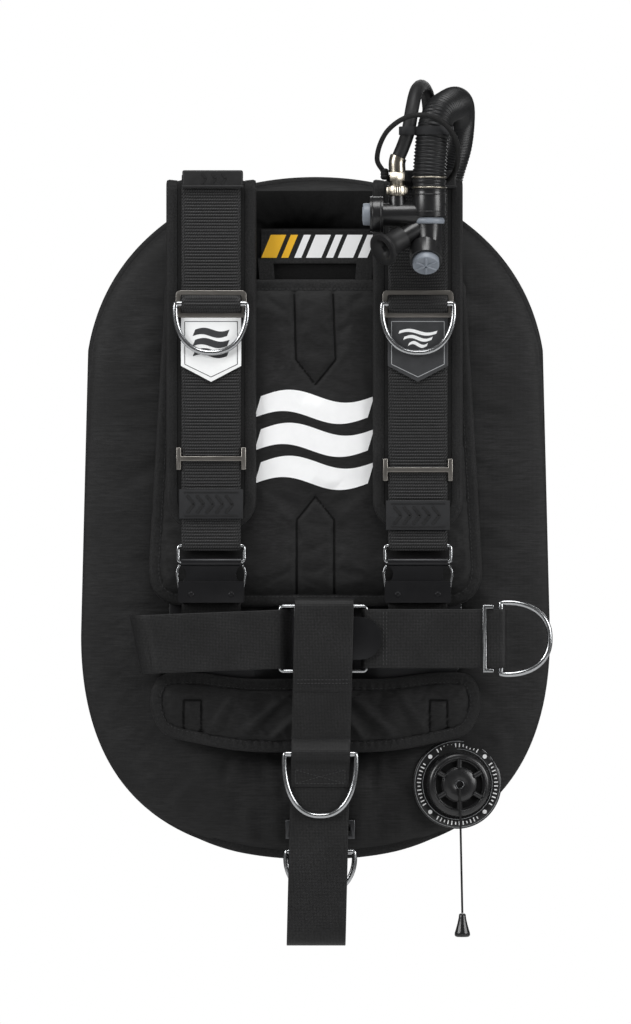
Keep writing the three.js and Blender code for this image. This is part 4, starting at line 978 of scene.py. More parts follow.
def sewn_pad(name, outline, y_rear, full, edge, seams, cells, puff, gather, creases=()):
    """A bound and quilted pad: crowned between its edge and its seams."""
    width = 8.5

    def surface(x, z, d):
        if d < width:
            return edge - 0.5 * ramped(d, width - 2, width)
        rise = edge - 0.5 + (full - edge) * math.sqrt(max(0.0, 1 - (1 - min(1.0, (d - width) / 15)) ** 2))
        pucker = gather * hum(x * 1.0 + z * 0.6, z, 7) * math.exp(-(d - width) / 9)
        rise += pucker + 0.5 * hum(x, z, 30) + 0.25 * hum(x, z, 11)
        for (a, b), depth, spread in creases:
            rise += depth * math.exp(-((line_distance(x, z, a, b) / spread) ** 2))
        if seams:
            dip, _ = seam_dip(x, z, seams, min(3.0, rise - 1.5), 2.0)
            rise -= dip
        return max(0.8, rise)

    piece = pad_form(outline, cells, surface, y_rear)

    def held(point):
        x, z = point.x / MM, point.z / MM
        if point.y > (y_rear - 1) * MM or outline.distance(x, z) < width + 2:
            return 1.0
        near = seam_dip(x, z, seams, 1, 1)[1] if seams else 99
        return 1.0 if near < 2.4 else 0.0

    piece = puffed(piece, held, puff, 0.014, 2.2 * MM)
    done(piece, name + "_cloth", "pad", "vest", [name], 60)
    # Dark strips along the quilting seams: painted shade for the gaps where the cloth dips.
    lines = [laid_on(slanted_bar(a, b, 1.5, -90), piece, 0.15 * MM) for a, b in seams]
    lines = [modify(line, "SOLIDIFY", thickness=0.35 * MM, offset=0) for line in lines]
    done(joined("lines", lines), name + "_seams", "lining", "vest", degrees=60)
    tape = binding(outline, y_rear + 0.2, edge, width, len(outline.points), gather * 0.3)
    done(tape, name + "_binding", "tape", "vest", degrees=60)
    rows = [
        stitches(
            seam_path(outline, width - 1.6, y_rear - edge - 0.8), 3.6 * MM, 2.4 * MM, 0.26 * MM,
            mm(0, -0.1, 0),
        )
    ]
    done(joined("rows", rows), name + "_stitches", None, "vest")
    return piece


class VEST_OT_pads(bpy.types.Operator):
    """Sews the back pad and the lumbar pad, with their bindings, seams and print"""

    bl_idname = "vest.pads"
    bl_label = "Back pads"

    def execute(self, context):
        low, high, _ = node_box("back_pad")
        top, bottom, rear = high.z / MM, low.z / MM, high.y / MM
        corners = [Vector(c) for c in ((-126, top), (126, top), (142, bottom), (-142, bottom))]
        outline = corner_outline(corners, [8, 8, 34, 34])
        quilt = [
            ((-18, 141), (-16.5, 85)), ((15, 141), (17, 85)), ((-16.5, 85), (0, 64)),
            ((17, 85), (0, 64))
        ]
        quilt += [
            ((0, -31), (-16, -51)), ((0, -31), (16, -51)), ((-16, -51), (-16, -116)),
            ((16, -51), (16, -116))
        ]
        seams = [(Vector(a), Vector(b)) for a, b in quilt]
        folds = [
            ((20, 86), (44, 58)), ((-19, 86), (-42, 58)), ((-18, -52), (-44, -30)),
            ((18, -52), (44, -30))
        ]
        creases = [((Vector(a), Vector(b)), 0.9, 5.0) for a, b in folds]
        pad = sewn_pad(
            "back_pad", outline, rear, 11.6, 5.5, seams, 120, 2.5, 0.5, creases
        )
        self.mark(pad)
        self.lumbar()
        return {"FINISHED"}

    def mark(self, pad):
        """Three stacked waves printed across the pad."""
        made = []
        for k in range(3):
            z = 45 - 28 * k
            wave = band(Vector((-49, z)), Vector((47, z)), 18, 90, 0.3, 5.5, -60, 10)
            made.append(modify(laid_on(wave, pad, 0.2 * MM), "SOLIDIFY", thickness=0.3 * MM, offset=0))
        done(joined("waves", made), "back_mark", "white", "vest", degrees=60)

    def lumbar(self):
        low, high, _ = node_box("lumbar_pad")
        right, rear = high.x / MM, high.y / MM
        top, bottom = high.z / MM - 2, low.z / MM
        upper = [(0, top - 6), (60, top - 6), (105, top - 1), (right - 8, top - 4), (right, top - 24)]
        lower = [(right - 10, bottom + 17), (right - 42, bottom + 7), (60, bottom + 1), (0, bottom)]
        ring = upper + lower
        ring += [(-x, z) for x, z in reversed(ring[1:-1])]
        loop = [Vector((x, z, 0)) for x, z in [*ring, ring[0]]]
        outline = Outline([p.xy for p in catmull(loop, 240)[:-1]])
        windows = []
        for s in (-1, 1):
            box = [(s * 112, -204), (s * 97, -204), (s * 97, -234)]
            windows += [((s * 112, -234), box[0]), (box[0], box[1]), (box[1], box[2])]
        seams = [(Vector(a), Vector(b)) for a, b in windows]
        folds = [((-88, -231), (-66, -193)), ((-62, -233), (-20, -196)), ((-36, -236), (-8, -212))]
        folds += [((92, -231), (70, -195)), ((64, -233), (28, -198)), ((40, -236), (16, -206))]
        creases = [((Vector(a), Vector(b)), 2.4, 4.0) for a, b in folds]
        sewn_pad("lumbar_pad", outline, rear, 11.5, 5, seams, 100, 3.5, 1.5, creases)


def shoulder_path(box, bend):
    """The middle line of a shoulder pad, from behind, over the top and down the front, in y and z."""
    low, high = box
    thick = bend["thick"]
    rear, front = high.y / MM - thick / 2, low.y / MM + thick / 2
    radius = (rear - front) / 2
    middle = (rear + front) / 2
    fold = high.z / MM - radius - thick / 2
    path = [Vector((0, rear, 157))]
    for i in range(13):
        angle = math.pi * i / 12
        path.append(Vector((0, middle + radius * math.cos(angle), fold + radius * math.sin(angle))))
    path.append(Vector((0, front, low.z / MM)))
    return [p * MM for p in path]


def shoulder_pad(side, x):
    """A brushed pad that folds over the plate's top, with its edges bound and double sewn."""
    node = "shoulder_pad_" + side
    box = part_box(node)
    line = evenly(shoulder_path(box, {"thick": 7.6}), 2.6 * MM)
    rows = len(line) - 1
    half, corner = 37.0, 24.0
    tangents = [(line[min(i + 1, rows)] - line[max(i - 1, 0)]).normalized() for i in range(rows + 1)]
    across = Vector((1, 0, 0))
    run = length_of(line) / MM

    def reach(s):
        left = min(run - s, corner)
        return half - corner + math.sqrt(max(0.0, corner**2 - (corner - left) ** 2))

    def place(facing):
        def spot(u, v):
            i = round(v * rows)
            s = run * i / rows
            width = reach(s)
            offset = (2 * u - 1) * width
            edge = min(width - abs(offset), run - s, s + 2)
            normal = across.cross(tangents[i])
            full = 3.4 if facing > 0 else 3.2
            thin = 1.9
            rise = thin + (full - thin) * ramped(edge, 7.5, 15)
            rise += 0.22 * hum(offset + 40 * x, s, 16, facing) * ramped(edge, 8, 14)
            if edge < 1e-3:
                rise = 0
            return line[i] + across * (x + offset) * MM + normal * facing * rise * MM

        return spot

    front = shaped_grid(46, rows, place(1))
    piece = tidy_mesh(joined("pad", [front, shaped_grid(46, rows, place(-1))]), 4e-6)
    done(piece, node + "_cloth", "nap", "vest", [node], 60)
    shoulder_trim(node, line, tangents, x, half, corner, run)
    return piece


def shoulder_trim(node, line, tangents, x, half, corner, run):
    """The bound edge round a shoulder pad and the stitch lines beside the webbing."""
    rows = len(line) - 1
    across = Vector((1, 0, 0))

    def at(s, offset, rise):
        k = min(max(s / run * rows, 0), rows - 1e-6)
        i = int(k)
        spot = line[i].lerp(line[i + 1], k - i)
        normal = across.cross(tangents[i].lerp(tangents[i + 1], k - i).normalized())
        return spot + across * (x + offset) * MM + normal * rise * MM

    loop = []
    straight = run - corner
    for s in range(0, int(straight), 3):
        loop.append((s, -half, -1.0, 0.0))
    for i in range(25):
        angle = math.pi / 2 * i / 24
        loop.append((straight + corner * math.sin(angle), -(half - corner) - corner * math.cos(angle),
                     -math.cos(angle), math.sin(angle)))
    for i in range(1, 9):
        loop.append((run, -(half - corner) + 2 * (half - corner) * i / 9, 0.0, 1.0))
    mirrored = [(s, -offset, -out, down) for s, offset, out, down in reversed(loop[: -8])]
    loop += mirrored
    section = [
        (8.2, -2.2), (1.5, -2.9), (-0.4, -2.2), (-0.9, 0), (-0.4, 2.2), (1.5, 2.9), (5, 3.1), (8.2, 2.3)
    ]

    def edge(u, v):
        k = min(int(round(u * (len(loop) - 1))), len(loop) - 1)
        s, offset, out, down = loop[k]
        inset, rise = section[round(v * (len(section) - 1))]
        ripple = 0.1 * hum(s, offset, 5)
        return at(s - down * inset, offset - out * inset, rise + ripple)

    tape = shaped_grid(len(loop) - 1, len(section) - 1, edge)
    tape = modify(tape, "SOLIDIFY", thickness=0.5 * MM, offset=0)
    done(tape, node + "_binding", "tape", "vest", degrees=70)
    rows_of = []
    for inset in (6.6, 10.2):
        path = [at(s - down * inset, offset - out * inset, 3.15) for s, offset, out, down in loop]
        lift = Vector((0, 0, 0))
        rows_of.append(stitches(path, 3.4 * MM, 2.3 * MM, 0.26 * MM, lift))
    done(joined("rows", rows_of), node + "_stitches", None, "vest")


# ------------------------------------------------------------------ harness
def arc_points(a, b, radius, start, end, steps):
    """Points of an arc in a strap's own plane, in millimetres and degrees."""
    angles = [math.radians(start + (end - start) * i / steps) for i in range(steps + 1)]
    return [(a + radius * math.cos(t), b + radius * math.sin(t)) for t in angles]


def side_line(points, times=2):
    """A line of (y, z) millimetres as points, with soft corners."""
    return rounded([mm(0, y, z) for y, z in points], times)


def flat_line(points, z, times=2):
    """A line of (x, y) millimetres as points at one height, with soft corners."""
    return rounded([mm(x, y, z) for x, y in points], times)


def d_ring_line(width, depth, wire):
    """The middle of a D-ring's wire: bow down to -z, straight bar along x through the origin."""
    half, drop = width / 2 - wire, depth - 2 * wire
    corner = 0.36 * drop
    left = [(-half, 0, 0), (-half - 2.5, 0, -corner * 1.1), (-half + 5, 0, -drop * 1.02), (0, 0, -drop)]
    left = [mm(*p) for p in left]
    bow = [bezier(left, i / 24) for i in range(25)]
    bow += [Vector((-p.x, p.y, p.z)) for p in reversed(bow[:-1])]
    bar = [bow[-1].lerp(bow[0], i / 16) for i in range(1, 16)]
    return bow + bar


def d_ring(node, body, look, line_to_place, wire=2.3):
    line = [line_to_place(p) for p in d_ring_line(*RING_SIZES[node], wire)]
    ring = tube(evenly([*line, line[0]], 1.2 * MM)[:-1], wire * MM, 20, closed=True)
    done(ring, node + "_bent", look, body, [node], 60)


RING_SIZES = {
    "shoulder_d_ring_left": (64.5, 46),
    "shoulder_d_ring_right": (64.5, 46),
    "waist_d_ring": (64.5, 46),
    "crotch_d_ring_front": (64.5, 57),
    "crotch_d_ring_rear": (62, 40),
}


def wire_loop(x0, x1, z0, z1, y, radius, corner=3.5):
    """A rectangle of round wire with bent corners."""
    line = []
    for cx, cz, start in ((x1, z1, 0), (x0, z1, 90), (x0, z0, 180), (x1, z0, 270)):
        sx = -1 if cx == x1 else 1
        sz = -1 if cz == z1 else 1
        ring = arc_points(cx + sx * corner, cz + sz * corner, corner, start, start + 90, 8)
        line += [mm(x, y, z) for x, z in ring]
    return tube(evenly([*line, line[0]], 1.0 * MM)[:-1], radius * MM, 16, closed=True)


def edge_print(points, height, y, look, name, body, thickness=0.35):
    """Raised bars between pairs of points on a flat face."""
    made = []
    for a, b in points:
        bar = band(Vector(a), Vector(b), height, 4, 0, 0, y)
        made.append(modify(bar, "SOLIDIFY", thickness=thickness * MM, offset=0))
    return done(joined(name, made), name, look, body)


def chevrons(x, z, y, count, pitch, half, name, body, thick=1.5):
    """A row of raised arrowheads."""
    bars = []
    for k in range(count):
        tip = x + (k - (count - 1) / 2) * pitch
        bars += [((tip - half * 0.8, z + half), (tip, z)), ((tip - half * 0.8, z - half), (tip, z))]
    made = []
    for a, b in bars:
        bar = slanted_bar(Vector(a), Vector(b), thick, y)
        made.append(modify(bar, "SOLIDIFY", thickness=0.6 * MM, offset=0))
    return done(joined(name, made), name, "rubber", body)


def slanted_bar(a, b, thick, y):
    way = (b - a).normalized()
    side = Vector((-way.y, way.x)) * thick / 2

    def place(u, v):
        spot = a.lerp(b, u) + side * (2 * v - 1)
        return mm(spot.x, y, spot.y)

    return shaped_grid(max(4, round((b - a).length / 2.5)), 2, place)


class VEST_OT_shoulders(bpy.types.Operator):
    """Makes both shoulder pads with their webbing, rings, tags, adjusters and keepers"""

    bl_idname = "vest.shoulders"
    bl_label = "Shoulder harness"

    def execute(self, context):
        webbing = context.scene.vest_webbing
        for side in SIDES:
            x = node_box("shoulder_webbing_" + side)[2].x / MM
            shoulder_pad(side, x)
            self.webbing(side, x, webbing)
            self.ring(side, x)
            self.tag(side, x)
            self.slides(side, x)
            self.top_keeper(side, x)
        return {"FINISHED"}

    def webbing(self, side, x, settings):
        node = "shoulder_webbing_" + side
        low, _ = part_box(node)
        front, hump = -53.15, low.y / MM + 1
        fold_y, fold_r = -41.2, 11.95
        ring_z, reach = node_box("shoulder_d_ring_" + side)[1].z / MM - 2.3, 5.4
        path = [(-23.65, 152), (-23.65, 166), (-29.25, 166), (-29.25, 228)]
        path += arc_points(fold_y, 229, fold_r, 0, 180, 20)
        path += [(front, ring_z + reach + 1.2), (hump, ring_z + reach - 0.6)]
        path += [(hump, ring_z - reach + 0.6), (front, ring_z - reach - 1.2)]
        path += arc_points(-49.72, -72.6, 3.43, 180, 360, 8)
        path += [(-46.29, -61.6)]
        line = side_line(path)
        piece = strap(line, x * MM, settings.rib_height, settings.rib_pitch)
        done(piece, node + "_cloth", "ribbed", "vest", [node], 60)
        rows = []
        for dx in (-23.4, 23.4):
            path = [mm(x + dx, front - 1.25, z) for z in range(118, -64, -4)]
            path_up = [mm(x + dx, front - 1.25, z) for z in range(226, 148, -4)]
            rows += [
                stitches(p, 2.6 * MM, 1.5 * MM, 0.3 * MM)
                for p in (path, path_up)
            ]
        done(joined("rows", rows), node + "_selvedge", None, "vest")

    def ring(self, side, x):
        slide = "ring_slider_" + side
        dressed(slide, "_frame", "titanium", "vest", 0.6, 3)
        node = "shoulder_d_ring_" + side
        _, high, middle = node_box(node)
        origin = Vector((x * MM, middle.y, high.z - 2.3 * MM))
        d_ring(node, RING_BODY[node], "steel", lambda p: p + origin)

    def tag(self, side, x):
        """A sewn-on tag with a pointed foot; its mark is plain bars."""
        y, left, right = -55.35, x - 25.5, x + 25.5
        top, shoulder, foot = 120.3, 79.5, 66.0
        body, line, ink = ("paper", "slate", "slate") if side == "left" else ("slate", "ash", "paper")

        def place(grow):
            def spot(u, v):
                bottom = foot + (shoulder - foot) * abs(2 * u - 1) - grow * 0.2
                height = top - grow - (bottom + grow)
                return mm(left + grow + (right - left - 2 * grow) * u, y, bottom + grow + height * v)

            return spot

        plate = modify(shaped_grid(16, 12, place(0)), "SOLIDIFY", thickness=1.1 * MM, offset=0)
        plate = modify(plate, "BEVEL", width=0.25 * MM, segments=2, limit_method="ANGLE")
        done(plate, "tag_" + side, body, "vest")
        inset, front = 3.2, y - 0.62
        corners = [
            (left + inset, top - inset), (right - inset, top - inset), (right - inset, shoulder + 1.4)
        ]
        corners += [(x, foot + inset + 0.9), (left + inset, shoulder + 1.4)]
        pairs = list(zip(corners, corners[1:] + corners[:1]))
        made = [slanted_bar(Vector(a), Vector(b), 0.55, front) for a, b in pairs]
        made = [modify(bar, "SOLIDIFY", thickness=0.2 * MM, offset=0) for bar in made]
        done(joined("lines", made), "tag_border_" + side, line, "vest")
        made = []
        for k in range(3):
            z = 107.5 - 8.6 * k if side == "left" else 108 - 5.2 * k
            reach, height = (14.5, 5.4) if side == "left" else (16 - 4 * k, 2.6)
            bar = band(Vector((x - reach, z)), Vector((x + reach, z)), height, 24, 0.4, 1.6, front)
            made.append(modify(bar, "SOLIDIFY", thickness=0.25 * MM, offset=0))
        done(joined("mark", made), "tag_mark_" + side, ink, "vest", degrees=60)

    def slides(self, side, x):
        node = "strap_adjuster_" + side
        body = frame_body(node)
        dressed(node, "_slide", "titanium", body, 0.7, 3)
        node = "strap_keeper_" + side
        body = frame_body(node)
        low, _, middle = node_box(node)
        dressed(node, "_band", "keeper", body, 0.5, 3)
        front, z = low.y / MM - 0.05, middle.z / MM
        frame_lines = []
        for dz in (-10, 10):
            frame_lines.append(((x - 23, z + dz), (x + 23, z + dz)))
        edge_print(frame_lines, 0.9, front, "rubber", node + "_lines", body, 0.6)
        chevrons(x + 2, z, front, 5, 8.2, 7.5, node + "_arrows", body, 2.2)

    def top_keeper(self, side, x):
        """The rubber loop at the top of the fold."""
        shift = 0 if side == "left" else 9
        left, right = x - 24.4 + shift, x + 27 + shift * 0.6
        keeper = block(mm(left, -56.6, 230.5), mm(right, -40, 245.2), 1.6 * MM, 4)
        lip = block(mm(left - 0.5, -57.3, 230.1), mm(right + 0.5, -50, 232.6), 0.9 * MM, 3)
        keeper = united(keeper, [lip])
        name = "top_keeper_" + side
        done(keeper, name, "rubber", "vest")
        chevrons(x + 4, 238, -56.7, 3, 8.5, 4.4, name + "_arrows", "vest", 1.4)


def frame_body(node):
    """The name of the body that a node of the frame rides on."""
    for body, nodes in frame["record"]["behaviour"]["bodies"].items():
        if node in nodes:
            return body
    raise ValueError(node)


RING_BODY = {node: frame_body(node) for node in RING_SIZES}


class VEST_OT_clips(bpy.types.Operator):
    """Makes both side-release clips and the short straps below them"""

    bl_idname = "vest.clips"
    bl_label = "Clips"

    def execute(self, context):
        for side in SIDES:
            low, high, middle = node_box("clip_ring_" + side)
            radius = (high.y - low.y) / 2 / MM
            ends = (low.x / MM + radius, high.x / MM - radius, low.z / MM + radius, high.z / MM - radius)
            ring = wire_loop(*ends, middle.y / MM, radius, 2.5)
            done(
                ring, f"clip_ring_{side}_bent", "steel", "vest",
                ["clip_ring_" + side]
            )
            for part, look, bevel in (
                ("clip_tongue", "black_metal", 0.5), ("clip_housing", "black_metal", 0.9)
            ):
                node = f"{part}_{side}"
                done(
                    refined(node, bevel * MM, 3), node + "_cast", look, "vest",
                    [node]
                )
            for place in ("inner", "outer"):
                node = f"clip_latch_{side}_{place}"
                lever = refined(node, 0.35 * MM, 2)
                done(lever, node + "_spring", "steel", frame_body(node), [node])
            self.rivets(side)
            self.strap(side)
        return {"FINISHED"}

    def rivets(self, side):
        """Two domed rivets on the housing."""
        low, _, middle = node_box("clip_housing_" + side)
        made = []
        for dx in (-17, 17):
            start = Vector((middle.x + dx * MM, low.y + 0.3 * MM, middle.z - 2 * MM))
            made.append(cylinder(start, start + mm(0, -1.0, 0), 2.6 * MM, 24, 1.9 * MM, 0.3 * MM))
        name = f"clip_rivets_{side}"
        done(joined(name, made), name, "black_metal", "vest")

    def strap(self, side):
        node = "lower_strap_" + side
        _, _, middle = node_box(node)
        bar, hook = -46.02, 2.3
        top = -116.5
        path = [(bar - hook, -120), (bar - hook, top + hook), (bar + hook, top + hook), (bar + hook, -127)]
        path += [(-32.95, -152), (-23.65, -152), (-23.65, -172)]
        piece = strap(side_line(path, 2), middle.x, step=1.6 * MM)
        done(piece, node + "_cloth", "strap", "vest", [node], 60)


class VEST_OT_waist(bpy.types.Operator):
    """Makes the two halves of the waist belt, the buckle and the ring at the hip"""

    bl_idname = "vest.waist"
    bl_label = "Waist belt"

    def execute(self, context):
        _, _, middle = node_box("waist_belt_right")
        z = middle.z
        self.left(z)
        self.right(z)
        self.buckle()
        node = "waist_ring_slider"
        dressed(node, "_bent", "steel", "vest", 0.6, 3)
        node = "waist_d_ring"
        low, _, middle = node_box(node)
        origin = Vector((low.x + 2.3 * MM, middle.y, middle.z))
        d_ring(node, RING_BODY[node], "steel", lambda p: Vector((-p.z, p.y, p.x)) + origin)
        return {"FINISHED"}

    def left(self, z):
        front, tuck, tail = -63.0, -54.9, -21.35
        radius, middle, end = (tail - front) / 2, (tail + front) / 2, -158.0
        turn = end + radius + 1
        path = [(-66, tail), *arc_points(turn, middle, radius, 90, 270, 24)]
        path += [(-50, front), (-29, front + 0.4), (-23.5, tuck - 2), (-19, tuck), (28, tuck)]
        piece = strap(flat_line(path, z / MM), 0.0, step=1.6 * MM, side_axis="z")
        self.shape_left(piece, z)
        done(
            piece, "waist_belt_left_cloth", "strap", "vest", ["waist_belt_left"],
            60
        )

    def shape_left(self, piece, z):
        """The belt droops towards its fold, and the fold runs at a slant."""
        pivot, droop, slant = -17 * MM, math.radians(2.2), 0.2
        for vertex in piece.data.vertices:
            up = vertex.co.z - z
            share = ramped(-vertex.co.x / MM, 112, 158)
            share = max(share, 1.0 if vertex.co.x < -146 * MM else 0.0) if share > 0.75 else share
            vertex.co.x += share * slant * (STRAP_WIDTH / 2 - up)
            away = vertex.co.x - pivot
            vertex.co.z += away * math.sin(droop)

    def right(self, z):
        front, tail, loop, bar = -63.0, -21.35, 3.8, 156.9
        back = front + 2 * loop
        path = [(66, tail), (130, tail), (135.5, back), *arc_points(bar, front + loop, loop, 90, -90, 12)]
        path += [(55.1, front), *arc_points(43.1, -59.4, 3.53, 270, 90, 10), (57.1, -55.87)]
        piece = strap(flat_line(path, z / MM), 0.0, step=1.6 * MM, side_axis="z")
        done(
            piece, "waist_belt_right_cloth", "strap", "vest",
            ["waist_belt_right"], 60
        )
        rows = []
        for x in (57.3, 60.2):
            path = [mm(x, front - 1.15, z / MM + dz) for dz in range(-23, 25, 2)]
            rows.append(stitches(path, 3.2 * MM, 2.2 * MM, 0.34 * MM))
        done(joined("rows", rows), "waist_belt_stitches", None, "vest")

    def buckle(self):
        node = "waist_buckle_frame"
        low, high, middle = node_box(node)
        r = (high.y - low.y) / 2 / MM
        ends = (low.x / MM + r, high.x / MM - r, low.z / MM + r, high.z / MM - r)
        loop = wire_loop(*ends, middle.y / MM, r, 2.8)
        bar = cylinder(mm(-17, middle.y / MM, ends[2]), mm(-17, middle.y / MM, ends[3]), r * 0.98 * MM, 20)
        whole = joined("frame", [loop, bar])
        done(whole, node + "_wire", "steel", frame_body(node), [node])
        node = "waist_buckle_flap"
        flap = refined(node, 0.55 * MM, 3)
        done(flap, node + "_cast", "black_metal", frame_body(node), [node])


class VEST_OT_crotch(bpy.types.Operator):
    """Makes the crotch strap with its loop, its two rings on sewn tabs and its slide"""

    bl_idname = "vest.crotch"
    bl_label = "Crotch strap"

    LEAN = 0.024

    def execute(self, context):
        low, _, middle = node_box("crotch_strap")
        x = middle.x
        front, rear, fold = -58.0, -25.0, low.z / MM + 1
        half = (rear - front) / 2
        path = [(-9.25, -158), (-9.25, -172), (-15, -172), (-15, -198), (rear, -217)]
        path += arc_points((rear + front) / 2, fold + half, half, 0, -180, 20)
        path += [(front, -238), (front - 4, -217), (-70, -194), (-71, -190)]
        pieces = [strap(side_line(path), x, step=1.6 * MM)]
        loop = [(-70.5, -196), (-71.5, -188), *arc_points(-65, -125, 7, 180, 90, 8)]
        loop += [*arc_points(-57, -125, 7, 90, 0, 8), (-50, -180), (-69, -194)]
        pieces.append(strap(side_line(loop), x, step=1.6 * MM))
        for y, z, length in ((front, -249, 28), (rear, -333, 16)):
            pieces.append(self.tab(x, y, z, length))
        whole = joined("strap", pieces)
        centre = 265 * MM
        for vertex in whole.data.vertices:
            vertex.co.x += (vertex.co.z + centre) * self.LEAN
        done(whole, "crotch_strap_cloth", "strap", "vest", ["crotch_strap"], 60)
        self.seams(x / MM, front)
        self.metal()
        return {"FINISHED"}

    def tab(self, x, y, z, length):
        """The short length of webbing that holds a ring's bar."""
        gap = 3.8
        near, out = y - 1.2, y - 2 * gap
        path = [(near, z + gap + 9), (near - 0.6, z + gap + 5), (out, z + gap - 1), (out, z - gap + 1)]
        path += [(near - 0.6, z - gap - 5), (near, z - gap - 9), (near, z - length)]
        return strap(side_line(path), x, step=1.4 * MM)

    def seams(self, x, front):
        rows = []
        face = front - 2.4

        def run(a, b, y):
            lean = [mm(p[0] + (p[1] + 265) * self.LEAN, y, p[1]) for p in (a, b)]
            count = max(2, round((lean[1] - lean[0]).length / (3 * MM)))
            return [lean[0].lerp(lean[1], i / count) for i in range(count + 1)]

        box = [(x - 21, -262.5), (x + 21, -262.5), (x + 21, -274), (x - 21, -274)]
        pairs = list(zip(box, box[1:] + box[:1])) + [(box[0], box[2]), (box[1], box[3])]
        for a, b in pairs:
            rows.append(
                stitches(run(a, b, face), 3 * MM, 2.1 * MM, 0.34 * MM)
            )
        for z in (-186, -189):
            a, b = (x - 22, z), (x + 22, z)
            rows.append(
                stitches(run(a, b, -72.6), 3 * MM, 2.1 * MM, 0.34 * MM)
            )
        done(joined("rows", rows), "crotch_strap_stitches", None, "vest")

    def metal(self):
        for node in ("crotch_d_ring_front", "crotch_d_ring_rear"):
            _, high, middle = node_box(node)
            origin = Vector((middle.x, middle.y, high.z - 2.3 * MM))
            d_ring(node, RING_BODY[node], "steel", lambda p: p + origin)
        node = "crotch_slider"
        dressed(node, "_bent", "dark_steel", frame_body(node), 0.5, 3)


class VEST_OT_plate(bpy.types.Operator):
    """Dresses the backplate, its bolts and the pad that the cylinder rests on"""

    bl_idname = "vest.plate"
    bl_label = "Backplate"

    def execute(self, context):
        sheet = refined("backplate", 0)
        sheet.data.materials.clear()
        sheet.data.materials.append(LOOKS["plate"])
        sheet.data.materials.append(LOOKS["steel"])
        modify(
            sheet, "BEVEL", width=0.6 * MM, segments=3, limit_method="ANGLE",
            angle_limit=math.radians(40), material=1
        )
        done(sheet, "backplate_sheet", None, "vest", ["backplate"])
        for node in ("plate_bolt_upper", "plate_bolt_lower"):
            dressed(node, "_turned", "steel", "vest", 0.5, 3)
        node = "tank_pad"
        low, high, _ = node_box(node)
        pad = refined(node, 1.0 * MM, 3)
        done(pad, node + "_sheet", "rubber", "vest", [node])
        made = []
        for k in range(15):
            z = low.z + (high.z - low.z) * (k + 0.5) / 15
            start, end = (Vector((x, high.y - 0.35 * MM, z)) for x in (low.x + 5 * MM, high.x - 5 * MM))
            made.append(cylinder(start, end, 0.75 * MM, 8))
        done(joined("ribs", made), "tank_pad_ribs", "rubber", "vest")
        return {"FINISHED"}


# ------------------------------------------------------------------ hoses and inflator
HOSE_ROUTE = [
    mm(96, -80, 226.3), mm(96, -80, 238), mm(97.5, -79.5, 260), mm(99.5, -77, 277), mm(104.5, -67, 292),
    mm(113, -47, 300), mm(120, -18, 303), mm(122, 10, 293), mm(120, 30, 270), mm(113, 41, 244),
    mm(110, 42, 224), mm(110, 42, 213),
]
FEED_ROUTE = [
    mm(69, -80, 242.6), mm(69, -80, 252), mm(73, -79.8, 262), mm(78, -78.5, 276), mm(81.5, -73, 296),
    mm(85, -60, 311), mm(90, -40, 317), mm(95, -20, 311), mm(97, 0, 293), mm(94, 20, 268),
    mm(88, 33, 238), mm(83, 37, 205), mm(82, 38, 170), mm(84, 38, 130), mm(92, 38, 90),
    mm(100, 38, 50), mm(104, 38, 10), mm(104, 38, -16), mm(104, 38, -30),
]
BUNGEE_ROUTE = [
    mm(57.5, -77, 243), mm(52, -82, 253), mm(60, -94, 276), mm(80, -101, 289), mm(102, -101, 287),
    mm(118, -93, 270), mm(119, -78, 247), mm(108, -62, 234), mm(84, -61, 233), mm(64, -68, 236),
    mm(58.5, -76.5, 240.5),
]
FEED_RADIUS = 5.85


def cord_curve(name, points, radius):
    """A free cord as one smooth line with a round bevel."""
    data = bpy.data.curves.new(name, "CURVE")
    data.dimensions = "3D"
    data.bevel_depth = radius
    data.bevel_resolution = 5
    data.use_fill_caps = True
    spline = data.splines.new("POLY")
    spline.points.add(len(points) - 1)
    for target, point in zip(spline.points, points):
        target.co = (*point, 1)
    spline.use_smooth = True
    piece = bpy.data.objects.new(name, data)
    bpy.context.scene.collection.objects.link(piece)
    return piece


def declared(piece, name, look, body, replaces=()):
    piece.name = name
    piece.data.materials.append(LOOKS[look])
    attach(piece, body)
    if replaces:
        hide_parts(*replaces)
    return piece


def united(first, others):
    """One closed solid out of several that cross."""
    for other in others:
        modify(first, "BOOLEAN", operation="UNION", solver="EXACT", object=other)
        bpy.data.objects.remove(other)
    return first


def drilled(first, tools):
    for tool in tools:
        modify(first, "BOOLEAN", operation="DIFFERENCE", solver="EXACT", object=tool)
        bpy.data.objects.remove(tool)
    return first


def eased(piece, width, segments=2, degrees=35):
    return modify(
        piece, "BEVEL", width=width * MM, segments=segments, limit_method="ANGLE",
        angle_limit=math.radians(degrees),
    )


